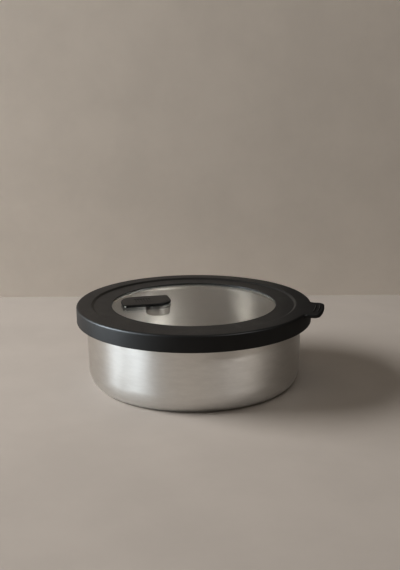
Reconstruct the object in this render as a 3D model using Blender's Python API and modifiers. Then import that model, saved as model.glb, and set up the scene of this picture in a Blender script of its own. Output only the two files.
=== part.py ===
"""Round stainless food container: a drawn steel bowl, a press-on windowed lid and a flip-up steam vent.

The bowl stands on the XY plane with its axis on Z, and the lid's pull tab points along +X.
Lengths are in metres.
"""

import math

import bmesh
import bpy
from mathutils import Matrix

MM = 0.001

# Clearance kept between neighbouring pieces, and the distance under which points are one point
GAP = 0.3 * MM
WELD = 0.001 * MM

# Segments of one full turn, on the large turned pieces and on the small ones
TURN_STEPS = 60
SMALL_TURN_STEPS = 24

# Points of the rounded stretches, both ends included
SMALL_ROUND_POINTS = 3
TOP_ROUND_POINTS = 5
BOWL_CORNER_POINTS = 7
LEDGE_POINTS = 5
RIM_CURL_POINTS = 8
STEP_POINTS = 6
TAB_END_POINTS = 4
TAB_CORNER_POINTS = 6
TAB_ROOT_POINTS = 5
WIDE_CORNER_POINTS = 10
TIGHT_CORNER_POINTS = 5
GRIP_RIDGE_POINTS = 6
FINGER_RIDGE_POINTS = 8

# Segments of a rounded plate edge or of a rod's quarter, and the angle over which an edge is sharp
BEVEL_RESOLUTION = 1
SHARP_EDGE_DEGREES = 40.0

# Whole container
HEIGHT = 57.5 * MM
LID_RADIUS = 85.0 * MM

# Bowl, one sheet of steel; the radii are those of its outside
SHEET = 0.8 * MM
BOWL_FOOT_RADIUS = 77.3 * MM
BOWL_TOP_RADIUS = 77.7 * MM
CORNER_WIDTH = 7.0 * MM
CORNER_HEIGHT = 14.0 * MM
LEDGE_BOTTOM = 46.6 * MM
LEDGE_RISE = 1.3 * MM
LEDGE_WIDTH = 2.0 * MM
RIM_TOP = 54.6 * MM
RIM_CURL_RADIUS = 1.6 * MM
RIM_CURL_END_DEGREES = -50.0

# Lid ring
SKIRT_HEIGHT = 11.9 * MM
SKIRT_THICKNESS = 2.4 * MM
SKIRT_EDGE_ROUND = 0.6 * MM
TOP_EDGE_ROUND = 1.5 * MM
FLANGE_THICKNESS = 2.6 * MM
STEP_DROP = 1.1 * MM
STEP_INNER_RADIUS = 72.3 * MM
STEP_OUTER_RADIUS = 74.5 * MM
BAND_THICKNESS = 2.2 * MM
PLUG_OUTER_RADIUS = 75.6 * MM
PLUG_THICKNESS = 2.0 * MM
PLUG_FOOT_RADIUS = 77.0 * MM
PLUG_FOOT_HEIGHT = 0.8 * MM
PLUG_BOTTOM = 48.9 * MM

# Window: lip of the ring, glass pane, its seal and the ring that clamps them
WINDOW_RADIUS = 59.6 * MM
LIP_THICKNESS = 0.6 * MM
LIP_ROUND = 0.4 * MM
POCKET_RADIUS = 66.4 * MM
POCKET_WALL = 2.2 * MM
PANE_THICKNESS = 3.0 * MM
PANE_EDGE_CHAMFER = 0.4 * MM
WINDOW_SEAL_THICKNESS = 1.0 * MM
WINDOW_SEAL_INNER_RADIUS = 61.2 * MM
RETAINER_THICKNESS = 1.8 * MM
RETAINER_INNER_RADIUS = 60.6 * MM
RETAINER_EDGE_ROUND = 0.5 * MM
SNAP_BEAD = 0.8 * MM
SNAP_BEAD_HEIGHT = 0.7 * MM

# Lid seal, a ring round the plug with two lips that reach for the bowl's neck
SEAL_BODY = 1.4 * MM
SEAL_LIP_REACH = 1.2 * MM
SEAL_LIP_HEIGHT = 1.2 * MM
SEAL_LIP_TIP_HEIGHT = 0.4 * MM
SEAL_LIP_POSITIONS = (0.28, 0.72)

# Pull tab on the ring's top flange
TAB_REACH = 9.3 * MM
TAB_HALF_WIDTH = 16.3 * MM
TAB_THICKNESS = 2.8 * MM
TAB_CORNER_RADIUS = 5.0 * MM
TAB_ROOT_FILLET = 4.5 * MM
TAB_EDGE_ROUND = 0.6 * MM
TAB_ROOT_DEPTH = 1.6 * MM
GRIP_RIDGE_INSETS = (2.8 * MM, 5.8 * MM)
GRIP_RIDGE_HALF_ANGLE = 6.0
GRIP_RIDGE_RADIUS = 0.6 * MM
GRIP_RIDGE_HEIGHT = 0.4 * MM

# Steam vent on the glass, a flap hinged at the end nearest the ring; heights are over the glass
VENT_CENTRE = (-34.8 * MM, -5.3 * MM)
VENT_TURN_DEGREES = 27.3
FLAP_LENGTH = 36.4 * MM
FLAP_WIDTH = 23.6 * MM
FLAP_TOP = 2.2 * MM
FLAP_SKIN = 0.9 * MM
FLAP_WALL = 1.2 * MM
FLAP_WIDE_RADIUS = 11.0 * MM
FLAP_TIGHT_RADIUS = 2.4 * MM
FLAP_EDGE_ROUND = 0.7 * MM
POCKET_START = 1.6 * MM
NAIL_NOTCH_LENGTH = 1.5 * MM
NAIL_NOTCH_WIDTH = 7.6 * MM
NAIL_NOTCH_HEIGHT = 0.9 * MM
FINGER_RIDGE_INSET = 2.6 * MM
FINGER_RIDGE_START = -78.0
FINGER_RIDGE_END = -4.0
FINGER_RIDGE_RADIUS = 0.7 * MM
FINGER_RIDGE_HEIGHT = 0.25 * MM

# Vent hinge: a headed pin through the flap's heel and two ears of the base, to one side of the middle
HINGE_MIDDLE = -4.5 * MM
EAR_INNER = 1.9 * MM
EAR_WIDTH = 2.0 * MM
EAR_RADIUS = 0.85 * MM
EAR_FOOT_BACK = 0.5 * MM
EAR_FOOT_REACH = 2.6 * MM
PIN_RADIUS = 0.4 * MM
PIN_BORE_RADIUS = 0.62 * MM
PIN_HEAD_RADIUS = 0.75 * MM
PIN_HEAD_THICKNESS = 0.5 * MM
PIN_REACH = 1.8 * MM

# Vent base, its tube through the glass, what holds it from below, and the stopper in the tube
BASE_THICKNESS = 0.5 * MM
BASE_INSET = 0.4 * MM
BASE_START = 2.1 * MM
BOSS_DISTANCE = 26.0 * MM
BOSS_RADIUS = 5.0 * MM
BOSS_BORE_RADIUS = 2.6 * MM
BOSS_LENGTH = 11.0 * MM
GASKET_THICKNESS = 0.8 * MM
GASKET_RADIUS = 8.6 * MM
NUT_THICKNESS = 6.1 * MM
NUT_RADIUS = 9.0 * MM
NUT_EDGE_ROUND = 1.4 * MM
NUT_HOLE_COUNT = 4
NUT_HOLE_CIRCLE_RADIUS = 6.6 * MM
NUT_HOLE_RADIUS = 0.7 * MM
NUT_HOLE_DEPTH = 2.0 * MM
STOPPER_HEAD_RADIUS = 3.4 * MM
STOPPER_HEAD_THICKNESS = 0.4 * MM
STOPPER_ROOT_RADIUS = 2.0 * MM
STOPPER_TIP_RADIUS = 1.5 * MM
STOPPER_REACH = 2.0 * MM

# Levels that follow from the sizes above
SKIRT_BOTTOM = HEIGHT - SKIRT_HEIGHT
SKIRT_INNER_RADIUS = LID_RADIUS - SKIRT_THICKNESS
FLANGE_BOTTOM = HEIGHT - FLANGE_THICKNESS
BAND_TOP = HEIGHT - STEP_DROP
BAND_BOTTOM = BAND_TOP - BAND_THICKNESS
LIP_BOTTOM = BAND_TOP - LIP_THICKNESS
GLASS_TOP = LIP_BOTTOM - GAP
GLASS_BOTTOM = GLASS_TOP - PANE_THICKNESS
WINDOW_SEAL_TOP = GLASS_BOTTOM - GAP
RETAINER_TOP = WINDOW_SEAL_TOP - WINDOW_SEAL_THICKNESS - GAP
RETAINER_BOTTOM = RETAINER_TOP - RETAINER_THICKNESS
BEAD_TOP = RETAINER_BOTTOM - GAP
CLAMPED_RADIUS = POCKET_RADIUS - GAP
TAB_END_RADIUS = LID_RADIUS + TAB_REACH
FLAP_NOSE = (FLAP_TOP - GAP) / 2.0
FLAP_END = FLAP_LENGTH - FLAP_NOSE
HINGE_HEIGHT = (FLAP_TOP + GAP) / 2.0
EAR_OUTER = EAR_INNER + EAR_WIDTH
PIN_HEAD_FACE = -FLAP_WIDTH / 2.0 - GAP
PIN_TIP = HINGE_MIDDLE + EAR_OUTER + PIN_REACH
STOPPER_HEAD_BOTTOM = GAP + BASE_THICKNESS + GAP
STOPPER_HEAD_TOP = STOPPER_HEAD_BOTTOM + STOPPER_HEAD_THICKNESS


def make_collection(name):
    """Add a collection to the scene."""
    collection = bpy.data.collections.new(name)
    bpy.context.scene.collection.children.link(collection)
    return collection


def make_material(name, colour, roughness, metallic=0.0, transmission=0.0):
    """Make a Principled material of one colour."""
    material = bpy.data.materials.new(name)
    material.use_nodes = True
    shader = material.node_tree.nodes["Principled BSDF"]
    shader.inputs["Base Color"].default_value = (*colour, 1.0)
    shader.inputs["Roughness"].default_value = roughness
    shader.inputs["Metallic"].default_value = metallic
    shader.inputs["Transmission Weight"].default_value = transmission
    return material


def arc(centre, radii, start_degrees, end_degrees, count):
    """Points of an elliptical arc, both ends included."""
    points = []
    for step in range(count):
        angle = math.radians(start_degrees + (end_degrees - start_degrees) * step / (count - 1))
        points.append((centre[0] + radii[0] * math.cos(angle), centre[1] + radii[1] * math.sin(angle)))
    return points


def s_curve(start, end, count, along):
    """Points of a smooth step between two points, which runs evenly along one axis (0 or 1)."""
    points = []
    for step in range(count):
        even = step / (count - 1)
        eased = (1.0 - math.cos(math.pi * even)) / 2.0
        shares = (even, eased) if along == 0 else (eased, even)
        points.append(tuple(a + (b - a) * share for a, b, share in zip(start, end, shares)))
    return points


def add_object(name, mesh, collection, material=None, parent=None):
    """Put a mesh in the scene as a named object."""
    thing = bpy.data.objects.new(name, mesh)
    collection.objects.link(thing)
    thing.parent = parent
    if material:
        mesh.materials.append(material)
    return thing


def turned(name, profile, collection, material, parent=None, closed=True, steps=TURN_STEPS):
    """Turn a profile of (radius, height) points about the Z axis."""
    edges = [(i, i + 1) for i in range(len(profile) - 1)]
    if closed:
        edges.append((len(profile) - 1, 0))
    mesh = bpy.data.meshes.new(name)
    mesh.from_pydata([(radius, 0.0, height) for radius, height in profile], edges, [])
    thing = add_object(name, mesh, collection, material, parent)
    screw = thing.modifiers.new("turn", "SCREW")
    screw.axis = "Z"
    screw.steps = steps
    screw.render_steps = steps
    screw.use_merge_vertices = True
    screw.merge_threshold = WELD
    screw.use_smooth_shade = True
    return thing


def curve_to_mesh(curve_object, collection, material, parent):
    """Replace a curve object with a welded mesh object in the same place."""
    bpy.context.view_layer.update()
    evaluated = curve_object.evaluated_get(bpy.context.evaluated_depsgraph_get())
    mesh = bpy.data.meshes.new_from_object(evaluated)
    work = bmesh.new()
    work.from_mesh(mesh)
    bmesh.ops.remove_doubles(work, verts=work.verts, dist=WELD)
    bmesh.ops.recalc_face_normals(work, faces=work.faces)
    work.to_mesh(mesh)
    work.free()
    name = curve_object.name
    place = curve_object.matrix_world.copy()
    bpy.data.objects.remove(curve_object)
    mesh.transform(place)
    return add_object(name, mesh, collection, material, parent)


def make_curve(name, points, collection, dimensions, cyclic):
    """Make a curve object of straight stretches through points."""
    data = bpy.data.curves.new(name, "CURVE")
    data.dimensions = dimensions
    spline = data.splines.new("POLY")
    spline.points.add(len(points) - 1)
    for target, point in zip(spline.points, points):
        target.co = (*point, 1.0)
    spline.use_cyclic_u = cyclic
    thing = bpy.data.objects.new(name, data)
    collection.objects.link(thing)
    return thing


def plate(name, outline, bottom, top, collection, material=None, parent=None, edge_round=0.0):
    """Make a flat piece from an outline, between two heights, with its edges rounded if asked."""
    thing = make_curve(name, [(x, y, 0.0) for x, y in outline], collection, "2D", True)
    thing.data.fill_mode = "BOTH"
    thing.data.extrude = (top - bottom) / 2.0 - edge_round
    thing.data.bevel_depth = edge_round
    thing.data.bevel_resolution = BEVEL_RESOLUTION
    thing.data.offset = -edge_round
    thing.location.z = (top + bottom) / 2.0
    return curve_to_mesh(thing, collection, material, parent)


def rod(name, points, radius, collection, parent=None):
    """Make a round bar along points."""
    thing = make_curve(name, points, collection, "3D", False)
    thing.data.bevel_depth = radius
    thing.data.bevel_resolution = BEVEL_RESOLUTION
    thing.data.use_fill_caps = True
    return curve_to_mesh(thing, collection, None, parent)


def cylinder(name, radius, low, high, collection, material=None, parent=None, along="Z"):
    """Make a cylinder on the parent's Z or Y axis, between two positions along it."""
    mesh = bpy.data.meshes.new(name)
    work = bmesh.new()
    bmesh.ops.create_cone(
        work,
        cap_ends=True,
        segments=SMALL_TURN_STEPS,
        radius1=radius,
        radius2=radius,
        depth=high - low,
        matrix=Matrix.Translation((0.0, 0.0, (high + low) / 2.0)),
    )
    if along == "Y":
        bmesh.ops.rotate(work, verts=work.verts, matrix=Matrix.Rotation(math.radians(-90.0), 3, "X"))
    work.to_mesh(mesh)
    work.free()
    mesh.shade_smooth()
    mesh.set_sharp_from_angle(angle=math.radians(SHARP_EDGE_DEGREES))
    return add_object(name, mesh, collection, material, parent)


def box(name, low, high, collection, parent=None):
    """Make a box between two corners."""
    mesh = bpy.data.meshes.new(name)
    work = bmesh.new()
    bmesh.ops.create_cube(work, size=1.0)
    bmesh.ops.scale(work, verts=work.verts, vec=[b - a for a, b in zip(low, high)])
    bmesh.ops.translate(work, verts=work.verts, vec=[(a + b) / 2.0 for a, b in zip(low, high)])
    work.to_mesh(mesh)
    work.free()
    return add_object(name, mesh, collection, None, parent)


def combine(target, tool, operation):
    """Cut a tool out of an object, or join it on, and leave the tool as a hidden guide."""
    boolean = target.modifiers.new(f"{operation.lower()} {tool.name}", "BOOLEAN")
    boolean.operation = operation
    boolean.solver = "EXACT"
    boolean.object = tool
    tool.hide_render = True
    tool.display_type = "WIRE"


def bowl_sheet_side(depth):
    """Profile of the sheet at a depth under its food side, from the floor's centre to the curl's tip."""
    to_outside = SHEET - depth
    corner_centre = (BOWL_FOOT_RADIUS - CORNER_WIDTH, CORNER_HEIGHT)
    corner_radii = (CORNER_WIDTH - to_outside, CORNER_HEIGHT - to_outside)
    wall_top = BOWL_TOP_RADIUS - to_outside
    neck = wall_top + LEDGE_WIDTH
    ledge_bottom = LEDGE_BOTTOM - depth / 2.0
    curl_centre = (BOWL_TOP_RADIUS - SHEET + LEDGE_WIDTH + RIM_CURL_RADIUS, RIM_TOP - RIM_CURL_RADIUS)
    curl_radii = (RIM_CURL_RADIUS - depth, RIM_CURL_RADIUS - depth)
    points = [(0.0, to_outside)]
    points += arc(corner_centre, corner_radii, -90.0, 0.0, BOWL_CORNER_POINTS)
    ledge_end = (neck, ledge_bottom + LEDGE_RISE)
    points += s_curve((wall_top, ledge_bottom), ledge_end, LEDGE_POINTS, 1)
    points += arc(curl_centre, curl_radii, 180.0, RIM_CURL_END_DEGREES, RIM_CURL_POINTS)
    return points


def make_bowl(parts, materials):
    """Drawn bowl with a flat base, a ledge under the rim and an outward curled rim."""
    profile = bowl_sheet_side(0.0) + bowl_sheet_side(SHEET)[::-1]
    turned("bowl_shell", profile, parts, materials["steel"], closed=False)


def lid_ring_profile():
    """Section of the lid ring: top, skirt, plug that the seal sits on, window pocket and lip."""
    top_round = (LID_RADIUS - TOP_EDGE_ROUND, HEIGHT - TOP_EDGE_ROUND)
    skirt_round = (LID_RADIUS - SKIRT_EDGE_ROUND, SKIRT_BOTTOM + SKIRT_EDGE_ROUND)
    lip_round = (WINDOW_RADIUS + LIP_ROUND, BAND_TOP - LIP_ROUND)
    plug_inner_radius = PLUG_OUTER_RADIUS - PLUG_THICKNESS
    pocket_outer_radius = POCKET_RADIUS + POCKET_WALL
    bead_radius = POCKET_RADIUS - SNAP_BEAD
    bead_bottom = BEAD_TOP - SNAP_BEAD_HEIGHT
    points = arc(lip_round, (LIP_ROUND, LIP_ROUND), 180.0, 90.0, SMALL_ROUND_POINTS)
    points += s_curve((STEP_INNER_RADIUS, BAND_TOP), (STEP_OUTER_RADIUS, HEIGHT), STEP_POINTS, 0)
    points += arc(top_round, (TOP_EDGE_ROUND, TOP_EDGE_ROUND), 90.0, 0.0, TOP_ROUND_POINTS)
    skirt_radii = (SKIRT_EDGE_ROUND, SKIRT_EDGE_ROUND)
    points += arc(skirt_round, skirt_radii, 0.0, -90.0, SMALL_ROUND_POINTS)
    points += [
        (SKIRT_INNER_RADIUS + SKIRT_EDGE_ROUND, SKIRT_BOTTOM),
        (SKIRT_INNER_RADIUS, SKIRT_BOTTOM + SKIRT_EDGE_ROUND),
        (SKIRT_INNER_RADIUS, FLANGE_BOTTOM),
        (PLUG_OUTER_RADIUS, FLANGE_BOTTOM),
        (PLUG_OUTER_RADIUS, PLUG_BOTTOM + PLUG_FOOT_HEIGHT),
        (PLUG_FOOT_RADIUS, PLUG_BOTTOM + PLUG_FOOT_HEIGHT),
        (PLUG_FOOT_RADIUS, PLUG_BOTTOM),
        (plug_inner_radius, PLUG_BOTTOM),
        (plug_inner_radius, BAND_BOTTOM),
        (pocket_outer_radius, BAND_BOTTOM),
        (pocket_outer_radius, bead_bottom),
        (POCKET_RADIUS, bead_bottom),
        (bead_radius, BEAD_TOP - SNAP_BEAD_HEIGHT / 2.0),
        (bead_radius, BEAD_TOP),
        (POCKET_RADIUS, BEAD_TOP),
        (POCKET_RADIUS, LIP_BOTTOM),
        (WINDOW_RADIUS, LIP_BOTTOM),
    ]
    return points


def tab_outline():
    """Plan of the pull tab: a rounded end that flares into the ring through a concave fillet on each side."""
    corner_y = TAB_HALF_WIDTH - TAB_CORNER_RADIUS
    corner_x = math.sqrt((TAB_END_RADIUS - TAB_CORNER_RADIUS) ** 2 - corner_y**2)
    corner_start = math.degrees(math.atan2(corner_y, corner_x))
    fillet_y = TAB_HALF_WIDTH + TAB_ROOT_FILLET
    fillet_x = math.sqrt((LID_RADIUS + TAB_ROOT_FILLET) ** 2 - fillet_y**2)
    fillet_end = math.degrees(math.atan2(fillet_y, fillet_x))
    root = LID_RADIUS - TAB_ROOT_DEPTH
    corner_radii = (TAB_CORNER_RADIUS, TAB_CORNER_RADIUS)
    fillet_radii = (TAB_ROOT_FILLET, TAB_ROOT_FILLET)
    end_radii = (TAB_END_RADIUS, TAB_END_RADIUS)
    side = arc((0.0, 0.0), end_radii, 0.0, corner_start, TAB_END_POINTS)[:-1]
    side += arc((corner_x, corner_y), corner_radii, corner_start, 90.0, TAB_CORNER_POINTS)
    side += arc((fillet_x, fillet_y), fillet_radii, 270.0, 180.0 + fillet_end, TAB_CORNER_POINTS)
    side += arc((0.0, 0.0), (root, root), fillet_end, 0.0, TAB_ROOT_POINTS)[:-1]
    mirrored = [(x, -y) for x, y in reversed(side[1:])]
    return side + [(root, 0.0)] + mirrored


def make_lid_ring(parts, guides, materials):
    """Lid ring with its pull tab and the tab's grip ridges."""
    ring = turned("lid_ring", lid_ring_profile(), parts, materials["ring"])
    tab = plate("pull_tab", tab_outline(), HEIGHT - TAB_THICKNESS, HEIGHT, guides, edge_round=TAB_EDGE_ROUND)
    combine(ring, tab, "UNION")
    ridge_level = HEIGHT + GRIP_RIDGE_HEIGHT - GRIP_RIDGE_RADIUS
    for number, inset in enumerate(GRIP_RIDGE_INSETS, start=1):
        radius = TAB_END_RADIUS - inset
        half_angle = GRIP_RIDGE_HALF_ANGLE
        path = arc((0.0, 0.0), (radius, radius), -half_angle, half_angle, GRIP_RIDGE_POINTS)
        ridge = rod(f"grip_ridge_{number}", [(x, y, ridge_level) for x, y in path], GRIP_RIDGE_RADIUS, guides)
        combine(ring, ridge, "UNION")


def make_lid_seal(parts, materials):
    """Silicone ring on the plug, with two lips that face the bowl's neck."""
    bottom = PLUG_BOTTOM + PLUG_FOOT_HEIGHT + GAP
    top = FLANGE_BOTTOM - GAP
    inner = PLUG_OUTER_RADIUS + GAP
    face = inner + SEAL_BODY
    points = [(inner, top), (face, top)]
    for share in reversed(SEAL_LIP_POSITIONS):
        middle = bottom + (top - bottom) * share
        points.append((face, middle + SEAL_LIP_HEIGHT / 2.0))
        points.append((face + SEAL_LIP_REACH, middle + SEAL_LIP_TIP_HEIGHT / 2.0))
        points.append((face + SEAL_LIP_REACH, middle - SEAL_LIP_TIP_HEIGHT / 2.0))
        points.append((face, middle - SEAL_LIP_HEIGHT / 2.0))
    points += [(face, bottom), (inner, bottom)]
    turned("lid_seal", points, parts, materials["silicone"])


def make_window(parts, guides, materials, vent):
    """Glass pane with the vent's hole, the seal under it and the ring that clamps both in the lid ring."""
    chamfer = PANE_EDGE_CHAMFER
    pane_profile = [
        (0.0, GLASS_TOP),
        (CLAMPED_RADIUS - chamfer, GLASS_TOP),
        (CLAMPED_RADIUS, GLASS_TOP - chamfer),
        (CLAMPED_RADIUS, GLASS_BOTTOM + chamfer),
        (CLAMPED_RADIUS - chamfer, GLASS_BOTTOM),
        (0.0, GLASS_BOTTOM),
    ]
    pane = turned("window_pane", pane_profile, parts, materials["glass"], closed=False)
    hole_depth = above_glass(-PANE_THICKNESS) - GAP
    hole = cylinder("pane_hole", BOSS_RADIUS + GAP, hole_depth, above_glass(GAP), guides, parent=vent)
    hole.location.x = BOSS_DISTANCE
    combine(pane, hole, "DIFFERENCE")
    seal_profile = [
        (WINDOW_SEAL_INNER_RADIUS, WINDOW_SEAL_TOP),
        (CLAMPED_RADIUS, WINDOW_SEAL_TOP),
        (CLAMPED_RADIUS, WINDOW_SEAL_TOP - WINDOW_SEAL_THICKNESS),
        (WINDOW_SEAL_INNER_RADIUS, WINDOW_SEAL_TOP - WINDOW_SEAL_THICKNESS),
    ]
    turned("window_seal", seal_profile, parts, materials["clear_silicone"])
    round_centre = (RETAINER_INNER_RADIUS + RETAINER_EDGE_ROUND, RETAINER_BOTTOM + RETAINER_EDGE_ROUND)
    retainer_profile = [
        (RETAINER_INNER_RADIUS, RETAINER_TOP),
        (CLAMPED_RADIUS, RETAINER_TOP),
        (CLAMPED_RADIUS, RETAINER_BOTTOM),
    ]
    round_radii = (RETAINER_EDGE_ROUND, RETAINER_EDGE_ROUND)
    retainer_profile += arc(round_centre, round_radii, 270.0, 180.0, SMALL_ROUND_POINTS)
    turned("retaining_ring", retainer_profile, parts, materials["steel"])


def above_glass(height):
    """Height over the glass, in the vent's frame, whose origin is on the hinge axis."""
    return height - HINGE_HEIGHT


def make_vent_frame(parts):
    """Empty on the hinge axis, with X along the flap towards its lifting end and Y along the hinge pin."""
    turn = math.radians(VENT_TURN_DEGREES)
    to_hinge = FLAP_LENGTH / 2.0 - FLAP_NOSE
    vent = bpy.data.objects.new("vent_hinge_axis", None)
    vent.location.x = VENT_CENTRE[0] - to_hinge * math.cos(turn)
    vent.location.y = VENT_CENTRE[1] - to_hinge * math.sin(turn)
    vent.location.z = GLASS_TOP + HINGE_HEIGHT
    vent.rotation_euler.z = turn
    parts.objects.link(vent)
    return vent


def vent_outline(start, inset):
    """Plan of a vent piece that starts at a distance from the hinge, inset from the flap's edge.

    Two opposite corners are wide and the other two are tight.
    """
    end = FLAP_END - inset
    half_width = FLAP_WIDTH / 2.0 - inset
    wide = FLAP_WIDE_RADIUS - inset
    tight = FLAP_TIGHT_RADIUS - inset
    points = arc((end - wide, wide - half_width), (wide, wide), -90.0, 0.0, WIDE_CORNER_POINTS)
    points += arc((end - tight, half_width - tight), (tight, tight), 0.0, 90.0, TIGHT_CORNER_POINTS)
    points += arc((start + wide, half_width - wide), (wide, wide), 90.0, 180.0, WIDE_CORNER_POINTS)
    points += arc((start + tight, tight - half_width), (tight, tight), 180.0, 270.0, TIGHT_CORNER_POINTS)
    return points


def ear_spans(margin):
    """Stretch of the hinge axis that each ear takes up, with a margin at both sides."""
    near = (HINGE_MIDDLE - EAR_OUTER - margin, HINGE_MIDDLE - EAR_INNER + margin)
    far = (HINGE_MIDDLE + EAR_INNER - margin, HINGE_MIDDLE + EAR_OUTER + margin)
    return {"near": near, "far": far}


def make_vent_flap(parts, guides, materials, vent):
    """Hollow flap with room for the hinge ears, a finger ridge and a notch for a fingernail."""
    top = above_glass(FLAP_TOP)
    bottom = above_glass(GAP)
    below = above_glass(-GAP)
    above = above_glass(FLAP_TOP + GAP)
    outline = vent_outline(-FLAP_NOSE, 0.0)
    flap = plate("vent_flap", outline, bottom, top, parts, materials["vent"], vent, FLAP_EDGE_ROUND)
    ceiling = above_glass(FLAP_TOP - FLAP_SKIN)
    pocket = plate("flap_pocket", vent_outline(POCKET_START, FLAP_WALL), below, ceiling, guides, parent=vent)
    combine(flap, pocket, "DIFFERENCE")
    for name, (low_y, high_y) in ear_spans(GAP).items():
        notch_low = (-FLAP_NOSE - GAP, low_y, below)
        notch_high = (POCKET_START + GAP, high_y, above)
        combine(flap, box(f"{name}_ear_notch", notch_low, notch_high, guides, vent), "DIFFERENCE")
    bore_end = PIN_TIP + GAP
    bore = cylinder("heel_bore", PIN_BORE_RADIUS, PIN_HEAD_FACE, bore_end, guides, parent=vent, along="Y")
    combine(flap, bore, "DIFFERENCE")
    socket_top = above_glass(STOPPER_HEAD_TOP + GAP)
    socket = cylinder("stopper_socket", STOPPER_HEAD_RADIUS + GAP, bottom, socket_top, guides, parent=vent)
    socket.location.x = BOSS_DISTANCE
    combine(flap, socket, "DIFFERENCE")
    notch_middle = (FLAP_WIDE_RADIUS - FLAP_TIGHT_RADIUS) / 2.0
    notch_low = (FLAP_END - NAIL_NOTCH_LENGTH, notch_middle - NAIL_NOTCH_WIDTH / 2.0, below)
    notch_top = bottom + NAIL_NOTCH_HEIGHT
    notch_high = (FLAP_END + NAIL_NOTCH_LENGTH, notch_middle + NAIL_NOTCH_WIDTH / 2.0, notch_top)
    combine(flap, box("nail_notch", notch_low, notch_high, guides, vent), "DIFFERENCE")
    ridge_centre = (FLAP_END - FLAP_WIDE_RADIUS, FLAP_WIDE_RADIUS - FLAP_WIDTH / 2.0)
    ridge_radius = FLAP_WIDE_RADIUS - FINGER_RIDGE_INSET
    ridge_level = top + FINGER_RIDGE_HEIGHT - FINGER_RIDGE_RADIUS
    ridge_radii = (ridge_radius, ridge_radius)
    path = arc(ridge_centre, ridge_radii, FINGER_RIDGE_START, FINGER_RIDGE_END, FINGER_RIDGE_POINTS)
    ridge = rod("finger_ridge", [(x, y, ridge_level) for x, y in path], FINGER_RIDGE_RADIUS, guides, vent)
    combine(flap, ridge, "UNION")


def make_vent_base(parts, guides, materials, vent):
    """Plate on the glass with two hinge ears and a tube through the glass."""
    bottom = above_glass(GAP)
    plate_top = bottom + BASE_THICKNESS
    outline = vent_outline(BASE_START, FLAP_WALL + BASE_INSET)
    base = plate("vent_base", outline, bottom, plate_top, parts, materials["frame"], vent)
    for name, (low_y, high_y) in ear_spans(0.0).items():
        foot_low = (-EAR_FOOT_BACK, low_y, bottom)
        foot_high = (EAR_FOOT_REACH, high_y, plate_top)
        combine(base, box(f"{name}_ear_foot", foot_low, foot_high, guides, vent), "UNION")
        ear = cylinder(f"{name}_ear", EAR_RADIUS, low_y, high_y, guides, parent=vent, along="Y")
        combine(base, ear, "UNION")
    boss_bottom = above_glass(-BOSS_LENGTH)
    boss_top = bottom + BASE_THICKNESS / 2.0
    boss = cylinder("base_boss", BOSS_RADIUS, boss_bottom, boss_top, guides, parent=vent)
    boss.location.x = BOSS_DISTANCE
    combine(base, boss, "UNION")
    bore = cylinder("boss_bore", BOSS_BORE_RADIUS, boss_bottom - GAP, plate_top + GAP, guides, parent=vent)
    bore.location.x = BOSS_DISTANCE
    combine(base, bore, "DIFFERENCE")
    ear_bore = cylinder("ear_bore", PIN_BORE_RADIUS, PIN_HEAD_FACE, PIN_TIP, guides, parent=vent, along="Y")
    combine(base, ear_bore, "DIFFERENCE")


def make_hinge_pin(parts, guides, materials, vent):
    """Pin with a round head at the flap's near side."""
    head_end = PIN_HEAD_FACE - PIN_HEAD_THICKNESS
    pin = cylinder("vent_hinge_pin", PIN_RADIUS, head_end, PIN_TIP, parts, materials["pin"], vent, along="Y")
    head = cylinder("pin_head", PIN_HEAD_RADIUS, head_end, PIN_HEAD_FACE, guides, parent=vent, along="Y")
    combine(pin, head, "UNION")


def make_vent_fixings(parts, guides, materials, vent):
    """Washer and tall nut on the tube under the glass, with holes for a pin wrench in the nut."""
    inner = BOSS_RADIUS + GAP
    gasket_top = above_glass(-PANE_THICKNESS) - GAP
    gasket_bottom = gasket_top - GASKET_THICKNESS
    gasket_profile = [
        (inner, gasket_top),
        (GASKET_RADIUS, gasket_top),
        (GASKET_RADIUS, gasket_bottom),
        (inner, gasket_bottom),
    ]
    gasket = turned(
        "vent_gasket", gasket_profile, parts, materials["clear_silicone"], vent, steps=SMALL_TURN_STEPS
    )
    gasket.location.x = BOSS_DISTANCE
    nut_top = gasket_bottom - GAP
    nut_bottom = nut_top - NUT_THICKNESS
    round_centre = (NUT_RADIUS - NUT_EDGE_ROUND, nut_bottom + NUT_EDGE_ROUND)
    nut_profile = [(inner, nut_top), (NUT_RADIUS, nut_top)]
    nut_profile += arc(round_centre, (NUT_EDGE_ROUND, NUT_EDGE_ROUND), 0.0, -90.0, SMALL_ROUND_POINTS)
    nut_profile += [(inner, nut_bottom)]
    nut = turned("vent_nut", nut_profile, parts, materials["steel"], vent, steps=SMALL_TURN_STEPS)
    nut.location.x = BOSS_DISTANCE
    hole_top = nut_bottom + NUT_HOLE_DEPTH
    for number in range(NUT_HOLE_COUNT):
        angle = math.radians(360.0 * number / NUT_HOLE_COUNT)
        hole = cylinder(
            f"nut_hole_{number + 1}", NUT_HOLE_RADIUS, nut_bottom - GAP, hole_top, guides, parent=vent
        )
        hole.location.x = BOSS_DISTANCE + NUT_HOLE_CIRCLE_RADIUS * math.cos(angle)
        hole.location.y = NUT_HOLE_CIRCLE_RADIUS * math.sin(angle)
        combine(nut, hole, "DIFFERENCE")


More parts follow.
